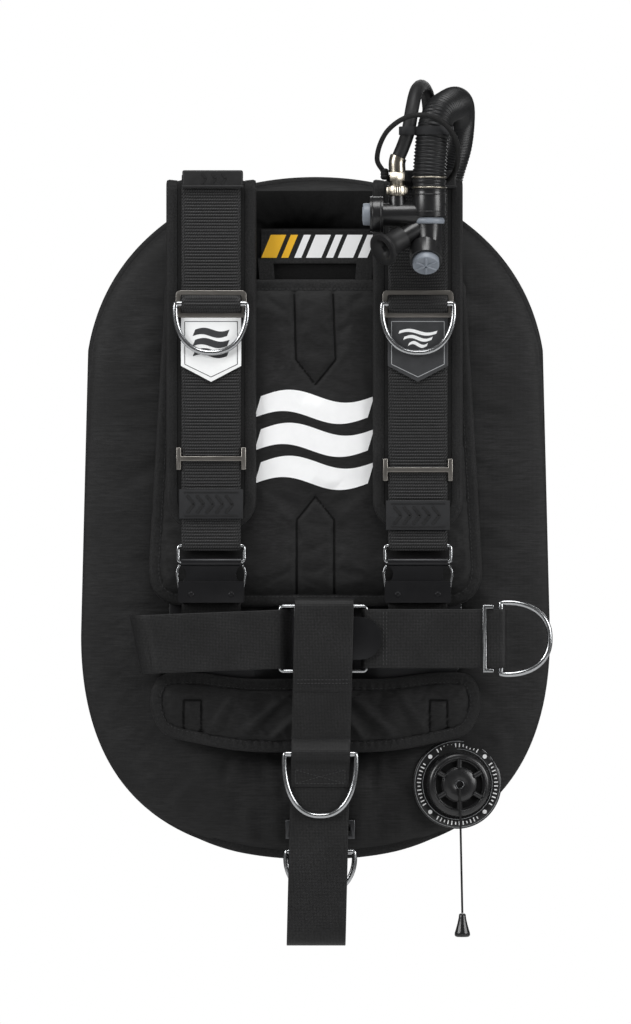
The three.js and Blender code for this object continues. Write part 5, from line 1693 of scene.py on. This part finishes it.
class VEST_OT_inflator(bpy.types.Operator):
    """Makes the power inflator with its buttons and mouthpiece, both hoses and what ties them"""

    bl_idname = "vest.inflator"
    bl_label = "Inflator and hoses"

    def execute(self, context):
        self.body()
        self.buttons()
        self.hoses(context.scene.vest_inflator)
        self.coupling()
        self.ties()
        return {"FINISHED"}

    def body(self):
        x, y = 96, -80
        exhaust = frame_axis("exhaust_press")
        centre = mm(93, -86, 172)
        mouth = Vector((-0.8, -0.35, -0.49)).normalized()
        start = mm(88, -80, 196)
        shell = cylinder(mm(x, y, 205), mm(x, y, 226), 14 * MM, 48)
        parts = [
            cylinder(mm(x, y, 182), mm(x, y, 207), 11 * MM, 48),
            cylinder(mm(50, y, 207), mm(x, y, 207), 9.5 * MM, 40),
            cylinder(mm(46, y, 207), mm(57, y, 207), 15 * MM, 56),
            cylinder(mm(69, y, 205), mm(69, y, 222), 7 * MM, 32),
            cylinder(centre - exhaust * 9 * MM, centre + exhaust * 6 * MM, 13.9 * MM, 56),
            cylinder(start, start + mouth * 17 * MM, 7.5 * MM, 32),
        ]
        shell = united(shell, parts)
        holes = [
            cylinder(mm(44, y, 207), mm(55, y, 207), 9.8 * MM, 48),
            cylinder(centre - exhaust * 6 * MM, centre + exhaust * 8 * MM, 11.8 * MM, 48),
        ]
        shell = eased(drilled(shell, holes), 0.7, 3)
        done(shell, "inflator_body_moulded", "plastic", "vest", ["inflator_body"])
        made = [
            tube(ring_line(mm(x, y, z), Vector((0, 0, 1)), 14.25 * MM), 0.55 * MM, 8, True)
            for z in (209, 223.5)
        ]
        made += [
            tube(ring_line(mm(px, y, 207), Vector((1, 0, 0)), 15.1 * MM), 0.5 * MM, 8, True)
            for px in (48, 55)
        ]
        done(joined("rings", made), "inflator_rings", "plastic", "vest", degrees=60)
        clip = tube(ring_line(mm(x, y, 201.5), Vector((0, 0, 1)), 11.4 * MM), 1.6 * MM, 12, True)
        for vertex in clip.data.vertices:
            vertex.co.z = 201.5 * MM + (vertex.co.z - 201.5 * MM) * 1.7
        done(clip, "inflator_band", "grey", "vest", degrees=60)

    def buttons(self):
        node = "inflate_button"
        low, high, middle = node_box(node)
        button = cylinder(
            Vector((low.x, middle.y, middle.z)), Vector((high.x, middle.y, middle.z)), 9.3 * MM, 48
        )
        parts = [
            ring_line(Vector((low.x, middle.y, middle.z)), Vector((1, 0, 0)), r * MM) for r in (5.8, 3.2)
        ]
        rings = [tube(line, 0.5 * MM, 8, True) for line in parts]
        button = joined("button", [eased(button, 1.1, 4), *rings])
        done(button, node + "_cap", "grey", frame_body(node), [node], 50)
        node = "exhaust_button"
        axis = frame_axis("exhaust_press")
        front = mm(93, -86, 172) + axis * 12 * MM
        button = eased(cylinder(front - axis * 13 * MM, front, 11.3 * MM, 56), 1.2, 4)
        side = axis.cross(Vector((1, 0, 0))).normalized()
        other = axis.cross(side)
        ribs = []
        for k in range(6):
            way = side * math.cos(TURN * k / 6) + other * math.sin(TURN * k / 6)
            ribs.append(cylinder(front + way * 1 * MM, front + way * 9.6 * MM, 1.5 * MM, 12, 1.1 * MM))
        button = joined("button", [button, *ribs])
        done(button, node + "_cap", "grey", frame_body(node), [node], 50)

    def hoses(self, settings):
        line = evenly(catmull(HOSE_ROUTE, 600), 0.58 * MM)
        total = length_of(line) / MM
        step = total / (len(line) - 1)

        def reach(i):
            s = i * step
            cuff = min(s, total - s)
            crest = 0.5 + 0.5 * math.cos(TURN * s / (settings.hose_pitch / MM))
            if cuff < 11:
                return (13.6 + (0.55 if 2 < cuff < 5 or 7 < cuff < 9.4 else 0)) * MM
            return (12.9 + 1.4 * crest**0.7) * MM

        hose = tube(line, reach, 40)
        done(hose, "corrugated_hose_moulded", "hose", "vest", ["corrugated_hose"], 80)
        tuple(HOSE_ROUTE[0])
        [tuple(p) for p in line[::8]]
        clamps = [tube(ring_line(mm(96, -80, z), Vector((0, 0, 1)), 14.3 * MM), 0.75 * MM, 10, True)
                  for z in (229.4, 238)]
        done(joined("clamps", clamps), "hose_clamps", "nickel", "vest", degrees=60)
        feed = evenly(catmull(FEED_ROUTE, 500), 4 * MM)
        hose = cord_curve("low_pressure_hose", feed, FEED_RADIUS * MM)
        declared(hose, "low_pressure_hose", "rubber", "vest", ["lp_hose"])
        node = "hose_fitting"
        fitting = dressed(node, "_turned", "nickel", "vest", 0.4, 2)
        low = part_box(node)[0]
        rings = [tube(ring_line(Vector((FEED_ROUTE[-1].x, FEED_ROUTE[-1].y, low.z + (1.2 + 1.1 * k) * MM)),
                                Vector((0, 0, 1)), 4.6 * MM), 0.35 * MM, 6, True) for k in range(7)]
        thread = done(joined("thread", rings), "hose_thread", "nickel", "vest", degrees=60)
        tuple(FEED_ROUTE[0])
        round(length_of(feed), 4)
        sleeve = tube(evenly(catmull(FEED_ROUTE, 500), 1 * MM)[:14], 7.1 * MM, 24)
        done(sleeve, "low_pressure_crimp", "nickel", "vest")

    def coupling(self):
        low, high, middle = node_box("qd_coupling")
        done(
            refined("qd_coupling", 0.4 * MM, 2), "qd_coupling_turned", "nickel", "vest",
            ["qd_coupling"]
        )
        node = "qd_collar"
        low, high, middle = node_box(node)
        outer = cylinder(
            Vector((middle.x, middle.y, low.z)), Vector((middle.x, middle.y, high.z)), 8.7 * MM, 40
        )
        hole = cylinder(
            Vector((middle.x, middle.y, low.z - MM)), Vector((middle.x, middle.y, high.z + MM)), 6.9 * MM, 32
        )
        ring = eased(drilled(outer, [hole]), 0.5)
        teeth = []
        for k in range(28):
            way = Vector((math.cos(TURN * k / 28), math.sin(TURN * k / 28), 0))
            base = Vector((middle.x, middle.y, low.z + 1.1 * MM)) + way * 8.6 * MM
            teeth.append((base, base + Vector((0, 0, high.z - low.z - 2.2 * MM))))
        knurl = thread_mesh(teeth, 0.42 * MM, "nickel")
        ring = joined("collar", [ring, knurl])
        done(ring, node + "_knurled", "nickel", frame_body(node), [node])

    def ties(self):
        line = evenly(catmull(BUNGEE_ROUTE, 240), 2 * MM)
        bungee = tube(line, 2.15 * MM, 14)
        lean = Vector((0, 0.35, 1)).normalized()
        knot = [
            tube(ring_line(mm(58.4, -77.2, z), lean, 1.7 * MM), 1.9 * MM, 12, True)
            for z in (238.6, 241, 243.4)
        ]
        whole = joined("bungee", [bungee, *knot])
        done(whole, "bungee_loop_tied", "cord", "vest", ["bungee_loop"], 60)
        node = "hose_band"
        dressed(node, "_moulded", "keeper", "vest", 0.5, 2)
        node = "hose_elbow"
        elbow = refined(node, 0.8 * MM, 3)
        done(elbow, node + "_moulded", "plastic", "vest", [node])
        axis = Vector((0, 0, 1))
        rings = [tube(ring_line(Vector((110 * MM, 42 * MM, z * MM)), axis, 13.2 * MM), 0.7 * MM, 8, True)
                 for z in (203, 208)]
        done(joined("rings", rings), "elbow_rings", "plastic", "vest", degrees=60)
        self.mouthpiece()

    def mouthpiece(self):
        """A soft sleeve that flares into an oval lip."""
        axis = Vector((-0.8, -0.35, -0.49)).normalized()
        turn = Vector((0, 0, 1)).rotation_difference(axis).to_matrix()
        start = mm(88, -80, 196) + axis * 17.3 * MM
        roll = math.radians(35)
        outside = [
            (0, 9.5, 1), (3, 9.6, 1), (9, 9.4, 1.05), (15, 10.2, 1.15), (19.0, 12.2, 1.4),
            (20.0, 14.2, 1.66)
        ]
        outside += [
            (21.4, 14.4, 1.68), (22.6, 14.0, 1.66), (23, 12.8, 1.6), (22.0, 9.2, 1.35), (19, 6.8, 1.05)
        ]
        outside += [(12, 6.4, 1.0), (4.2, 6.4, 1.0)]

        def place(u, v):
            k = v * (len(outside) - 1)
            i = min(int(k), len(outside) - 2)
            along, radius, stretch = (a + (b - a) * (k - i) for a, b in zip(outside[i], outside[i + 1]))
            angle = TURN * u
            a, b = radius * math.cos(angle), radius * stretch * math.sin(angle)
            across = Vector(
                (a * math.cos(roll) - b * math.sin(roll), a * math.sin(roll) + b * math.cos(roll), along)
            )
            return start + turn @ (across * MM)

        piece = shaped_grid(56, (len(outside) - 1) * 2, place)
        choose(piece)
        bpy.ops.object.mode_set(mode="EDIT")
        bpy.ops.mesh.select_all(action="SELECT")
        bpy.ops.mesh.remove_doubles(threshold=1e-6)
        bpy.ops.mesh.select_all(action="DESELECT")
        bpy.ops.mesh.select_non_manifold()
        bpy.ops.mesh.fill_holes(sides=0)
        bpy.ops.mesh.select_all(action="SELECT")
        bpy.ops.mesh.normals_make_consistent(inside=False)
        bpy.ops.object.mode_set(mode="OBJECT")
        done(piece, "mouthpiece_moulded", "rubber", "vest", ["mouthpiece"], 50)


def ring_line(centre, axis, radius, count=72):
    """A circle's points round an axis."""
    seed = Vector((0, 0, 1)) if abs(axis.z) < 0.9 else Vector((1, 0, 0))
    a = (seed - axis * seed.dot(axis)).normalized()
    b = axis.cross(a)
    turns = [TURN * k / count for k in range(count)]
    return [centre + (a * math.cos(t) + b * math.sin(t)) * radius for t in turns]


def frame_axis(joint):
    """The way out of a pressed button's hole, which is against its travel."""
    for row in frame["joints"]:
        if row["name"] == joint:
            axis = Vector(row["axis"]).normalized()
            return -axis if axis.dot(Vector((0, -0.65, -0.76))) < 0 else axis
    raise ValueError(joint)


# ------------------------------------------------------------------ dump valve
class VEST_OT_valve(bpy.types.Operator):
    """Makes the dump valve: printed flange, knurled cap, pull cord and knob"""

    bl_idname = "vest.valve"
    bl_label = "Dump valve"

    def execute(self, context):
        tilt = math.radians(8)
        self.axis = Vector((math.sin(tilt), -math.cos(tilt), 0))
        self.seat = mm(120.5, -18.0, -275.8)
        self.right = Vector((math.cos(tilt), math.sin(tilt), 0))
        self.up = Vector((0, 0, 1))
        self.base()
        self.cap()
        self.pull()
        frame["nodes"]["valve_plunger"].material_slots[0].material = LOOKS["rubber"]
        return {"FINISHED"}

    def at(self, height, radius=0.0, angle=0.0):
        way = self.right * math.cos(angle) + self.up * math.sin(angle)
        return self.seat + self.axis * height * MM + way * radius * MM

    def turned(self, profile, sides=96):
        """A shape spun round the valve's axis from heights and radii."""

        def place(u, v):
            height, radius = profile[round(v * (len(profile) - 1))]
            return self.at(height, radius, TURN * u)

        piece = shaped_grid(sides, len(profile) - 1, place)
        return tidy_mesh(piece, 1e-6)

    def base(self):
        profile = [(-12.5, 0), (-12.5, 26), (0, 26), (0, 37.4), (0.5, 38), (1.6, 38), (2, 37.5), (2, 29.5)]
        profile += [(1.5, 28.8), (1.5, 26.5), (1.5, 0)]
        done(
            self.turned(profile), "dump_valve_flange", "plastic", "vest",
            ["dump_valve_base"]
        )
        made = [
            tube(ring_line(self.at(2.05), self.axis, r * MM, 120), 0.22 * MM, 6, True) for r in (36.6, 29.9)
        ]
        done(
            joined("rings", made), "dump_valve_ring_lines", "ash", "vest",
            degrees=60
        )
        marks = []
        for k in range(64):
            turn = (k + 0.5) / 64 * TURN + TURN / 8
            if 1 < k % 16 < 14:
                marks += self.mark(turn, turn, 3.4 if k % 3 else 2.3, 0.62)
        for k in range(4):
            turn = TURN * (k + 0.5) / 4
            marks.append(cylinder(self.at(1.3, 33.2, turn), self.at(2.25, 33.2, turn), 1.8 * MM, 24))
        done(joined("marks", marks), "dump_valve_marks", "white", "vest")

    def mark(self, inner, outer, long, radius):
        start = self.at(1.75, 33.2 - long / 2, inner)
        end = self.at(1.75, 33.2 + long / 2, outer)
        return [cylinder(start, end, radius * MM, 8)]

    def cap(self):
        top = 14.3
        profile = [
            (2.4, 24.8), (2.4, 26.2), (3.0, 26.8), (11.5, 26.8), (13.2, 25.8), (top, 23.6), (top, 21.6)
        ]
        profile += [(13.4, 21.2), (11, 21), (10.4, 19), (10.4, 15.5), (11, 14.6), (13.6, 14.4), (top, 13.8)]
        profile += [(top, 4.4), (13.6, 3.4), (11.8, 2.6), (11.8, 0)]
        cap = self.turned(profile)
        spokes = []
        for k in range(6):
            angle = TURN * (k + 0.5) / 6
            a, b = self.at(13.1, 14.2, angle), self.at(13.1, 21.4, angle)
            spokes.append(cylinder(a, b, 2.3 * MM, 20))
        # A near-black ring on the floor of the windows: painted shade in the recess under the spokes.
        floor = self.turned([(10.35, 15.2), (10.8, 15.2), (10.8, 20.4), (10.35, 20.4), (10.35, 15.2)])
        done(floor, "dump_valve_window_shade", "lining", "vest", degrees=60)
        rim = tube(ring_line(self.at(14.2), self.axis, 22.6 * MM, 96), 0.55 * MM, 8, True)
        eyelet = tube(ring_line(self.at(14.2), self.axis, 3.4 * MM, 48), 0.6 * MM, 10, True)
        grips = []
        for k in range(60):
            angle = TURN * k / 60
            grips.append((self.at(3.4, 26.6, angle), self.at(12.0, 26.6, angle)))
        knurl = thread_mesh(grips, 0.75 * MM, "plastic")
        whole = joined("cap", [cap, *spokes, rim, knurl])
        done(
            whole, "dump_valve_cap_moulded", "plastic", "vest",
            ["dump_valve_cap"], 50
        )
        done(eyelet, "dump_valve_eyelet", "dark_steel", "vest", degrees=60)

    def pull(self):
        node = "pull_cord"
        low, high, middle = node_box(node)
        body = frame_body(node)
        top = Vector((low.x + 0.9 * MM, middle.y, high.z))
        end = Vector((high.x - 0.9 * MM, middle.y, low.z))
        line = [top.lerp(end, i / 24) for i in range(25)]
        cord = cord_curve("pull_line", line, 0.9 * MM)
        declared(cord, "pull_line", "cord", body, [node])
        knob_node = "pull_knob"
        low, high, middle = node_box(knob_node)
        deselect()
        length = (high.z - low.z) / MM
        profile = [(0, 0), (0.1, 2.0), (1.0, 2.9), (3.5, 3.1), (9, 4.3), (14, 5.7), (length - 3.6, 6.5)]
        profile += [(length - 1.6, 6.6), (length - 0.4, 5.8), (length, 4.6), (length, 0)]

        def place(u, v):
            down, radius = profile[round(v * (len(profile) - 1))]
            angle = TURN * u
            grip = 1 - (0.05 if 4 < down < length - 3 and round(u * 48) % 4 == 0 else 0)
            reach = radius * grip
            return Vector((middle.x + reach * math.cos(angle) * MM, middle.y + reach * math.sin(angle) * MM,
                           high.z - down * MM))

        knob = tidy_mesh(shaped_grid(48, len(profile) - 1, place))
        knob = done(
            knob, "pull_knob_moulded", "plastic", frame_body(knob_node), [knob_node],
            50
        )
        round(length_of(line), 4)


# ------------------------------------------------------------------ stage
class VEST_OT_stage(bpy.types.Operator):
    """Sets the camera, the soft lights and the pale floor"""

    bl_idname = "vest.stage"
    bl_label = "Stage"

    def execute(self, context):
        stage = context.scene.vest_stage
        self.camera(stage)
        middle = Vector((0, 0, stage.aim_height))
        self.light("key", middle + Vector((-1.9, -1.35, 0.9)), 1.1, stage.key_power * 1.1, middle)
        self.light("fill", middle + Vector((2.0, -1.2, 0.5)), 1.1, stage.key_power * 0.95, middle)
        self.light("top", middle + Vector((0.1, -0.8, 1.9)), 1.0, stage.key_power * 0.8, middle)
        self.light("low", middle + Vector((0.0, -1.9, -1.0)), 1.0, stage.key_power * 0.08, middle)
        self.light("rear", middle + Vector((0.4, 2.3, 0.9)), 1.6, stage.key_power * 0.6, middle)
        self.world(context.scene, stage)
        self.floor()
        return {"FINISHED"}

    def camera(self, stage):
        data = bpy.data.cameras.new("camera")
        data.lens = 300
        data.sensor_width = 36
        data.clip_end = 50
        tall = stage.view_height
        away = tall / 2 / math.tan(math.atan(data.sensor_width / 2 / data.lens))
        front = -0.03
        camera = bpy.data.objects.new("camera", data)
        camera.location = (0, front - away, stage.aim_height)
        camera.rotation_euler = (math.pi / 2, 0, 0)
        bpy.context.scene.collection.objects.link(camera)
        bpy.context.scene.camera = camera

    def light(self, name, place, size, power, aim):
        data = bpy.data.lights.new(name, "AREA")
        data.size = size
        data.energy = power
        lamp = bpy.data.objects.new(name, data)
        lamp.location = place
        lamp.rotation_euler = (aim - place).to_track_quat("-Z", "Y").to_euler()
        bpy.context.scene.collection.objects.link(lamp)

    def world(self, scene, stage):
        """White to the eye, dimmer as light, so that black cloth stays black."""
        world = bpy.data.worlds.new("studio")
        world.use_nodes = True
        scene.world = world
        tree = world.node_tree
        shown, given = tree.nodes["Background"], tree.nodes.new("ShaderNodeBackground")
        shown.inputs["Color"].default_value = (1, 1, 1, 1)
        shown.inputs["Strength"].default_value = 1.0
        given.inputs["Color"].default_value = (1, 1, 1, 1)
        given.inputs["Strength"].default_value = stage.ambient
        path, mix = tree.nodes.new("ShaderNodeLightPath"), tree.nodes.new("ShaderNodeMixShader")
        tree.links.new(path.outputs["Is Camera Ray"], mix.inputs[0])
        tree.links.new(given.outputs[0], mix.inputs[1])
        tree.links.new(shown.outputs[0], mix.inputs[2])
        tree.links.new(mix.outputs[0], tree.nodes["World Output"].inputs[0])
        scene.view_settings.view_transform = "Standard"

    def floor(self):
        deselect()
        bpy.ops.mesh.primitive_circle_add(vertices=96, radius=2.2, fill_type="NGON", location=(0, 0, -0.95))
        floor = bpy.context.object
        floor.name = "floor"
        pale = finish_of("pale floor", (0.86, 0.86, 0.86), 0.8)
        floor.data.materials.append(pale)


# ------------------------------------------------------------------ settings
class VestColours(bpy.types.PropertyGroup):
    """Base colours of the vest's main materials"""

    cloth: FloatVectorProperty(
        name="Cloth", description="Colour of the wing and the pads", default=(0.0150, 0.0150, 0.0153),
        subtype="COLOR", min=0, max=1,
    )
    webbing: FloatVectorProperty(
        name="Webbing", description="Colour of the straps", default=(0.0150, 0.0150, 0.0153),
        subtype="COLOR", min=0, max=1,
    )
    steel: FloatVectorProperty(
        name="Steel", description="Colour of rings, wires and the plate", default=(0.44, 0.45, 0.46),
        subtype="COLOR", min=0, max=1,
    )


class VestSoft(bpy.types.PropertyGroup):
    """How the wing's cloth lies"""

    pucker: FloatProperty(
        name="Pucker", description="Depth of the gathers beside the wing's seam", default=1.5 * MM,
        unit="LENGTH",
    )
    sag: FloatProperty(
        name="Sag", description="Unevenness of the wing's panels", default=1.1 * MM, unit="LENGTH",
    )


class VestWebbing(bpy.types.PropertyGroup):
    """The ribs of the shoulder webbing"""

    rib_height: FloatProperty(
        name="Rib height", description="How far the ribs stand out", default=0.5 * MM, unit="LENGTH",
    )
    rib_pitch: FloatProperty(
        name="Rib pitch", description="From one rib to the next", default=2.6 * MM, unit="LENGTH",
    )


class VestInflator(bpy.types.PropertyGroup):
    """The corrugated hose"""

    hose_pitch: FloatProperty(
        name="Hose pitch", description="From one corrugation to the next", default=2.9 * MM, unit="LENGTH",
    )


class VestStage(bpy.types.PropertyGroup):
    """The camera and the light"""

    aim_height: FloatProperty(
        name="Aim height", description="Height that the camera looks at", default=-0.0442, unit="LENGTH",
    )
    view_height: FloatProperty(
        name="View height", description="How much the view takes in from top to bottom", default=0.870,
        unit="LENGTH",
    )
    key_power: FloatProperty(
        name="Key power", description="Power of the main light", default=34.0, unit="POWER"
    )
    ambient: FloatProperty(name="Ambient", description="Strength of the light from all round", default=0.1)


SETTINGS = {
    "vest_colours": VestColours,
    "vest_soft": VestSoft,
    "vest_webbing": VestWebbing,
    "vest_inflator": VestInflator,
    "vest_stage": VestStage,
}
BUILDERS = (
    VEST_OT_stage,
    VEST_OT_wing,
    VEST_OT_plate,
    VEST_OT_pads,
    VEST_OT_shoulders,
    VEST_OT_clips,
    VEST_OT_waist,
    VEST_OT_crotch,
    VEST_OT_inflator,
    VEST_OT_valve,
)


class VEST_PT_panel(bpy.types.Panel):
    """Lists the vest's sizes and its builders"""

    bl_label = "Diving vest"
    bl_idname = "VEST_PT_panel"
    bl_space_type = "VIEW_3D"
    bl_region_type = "UI"
    bl_category = "Vest"

    def draw(self, context):
        column = self.layout.column()
        for name, group in SETTINGS.items():
            for field in group.__annotations__:
                column.prop(getattr(context.scene, name), field)
        for builder in BUILDERS:
            column.operator(builder.bl_idname)


def register():
    for group in SETTINGS.values():
        bpy.utils.register_class(group)
    for name, group in SETTINGS.items():
        setattr(bpy.types.Scene, name, PointerProperty(type=group))
    for kind in (*BUILDERS, VEST_PT_panel):
        bpy.utils.register_class(kind)


def unregister():
    for kind in (VEST_PT_panel, *reversed(BUILDERS)):
        bpy.utils.unregister_class(kind)
    for name, group in SETTINGS.items():
        delattr(bpy.types.Scene, name)
        bpy.utils.unregister_class(group)


def main():
    register()
    make_looks()
    for builder in BUILDERS:
        group, name = builder.bl_idname.split(".")
        getattr(getattr(bpy.ops, group), name)()


if __name__ == "__main__":
    main()
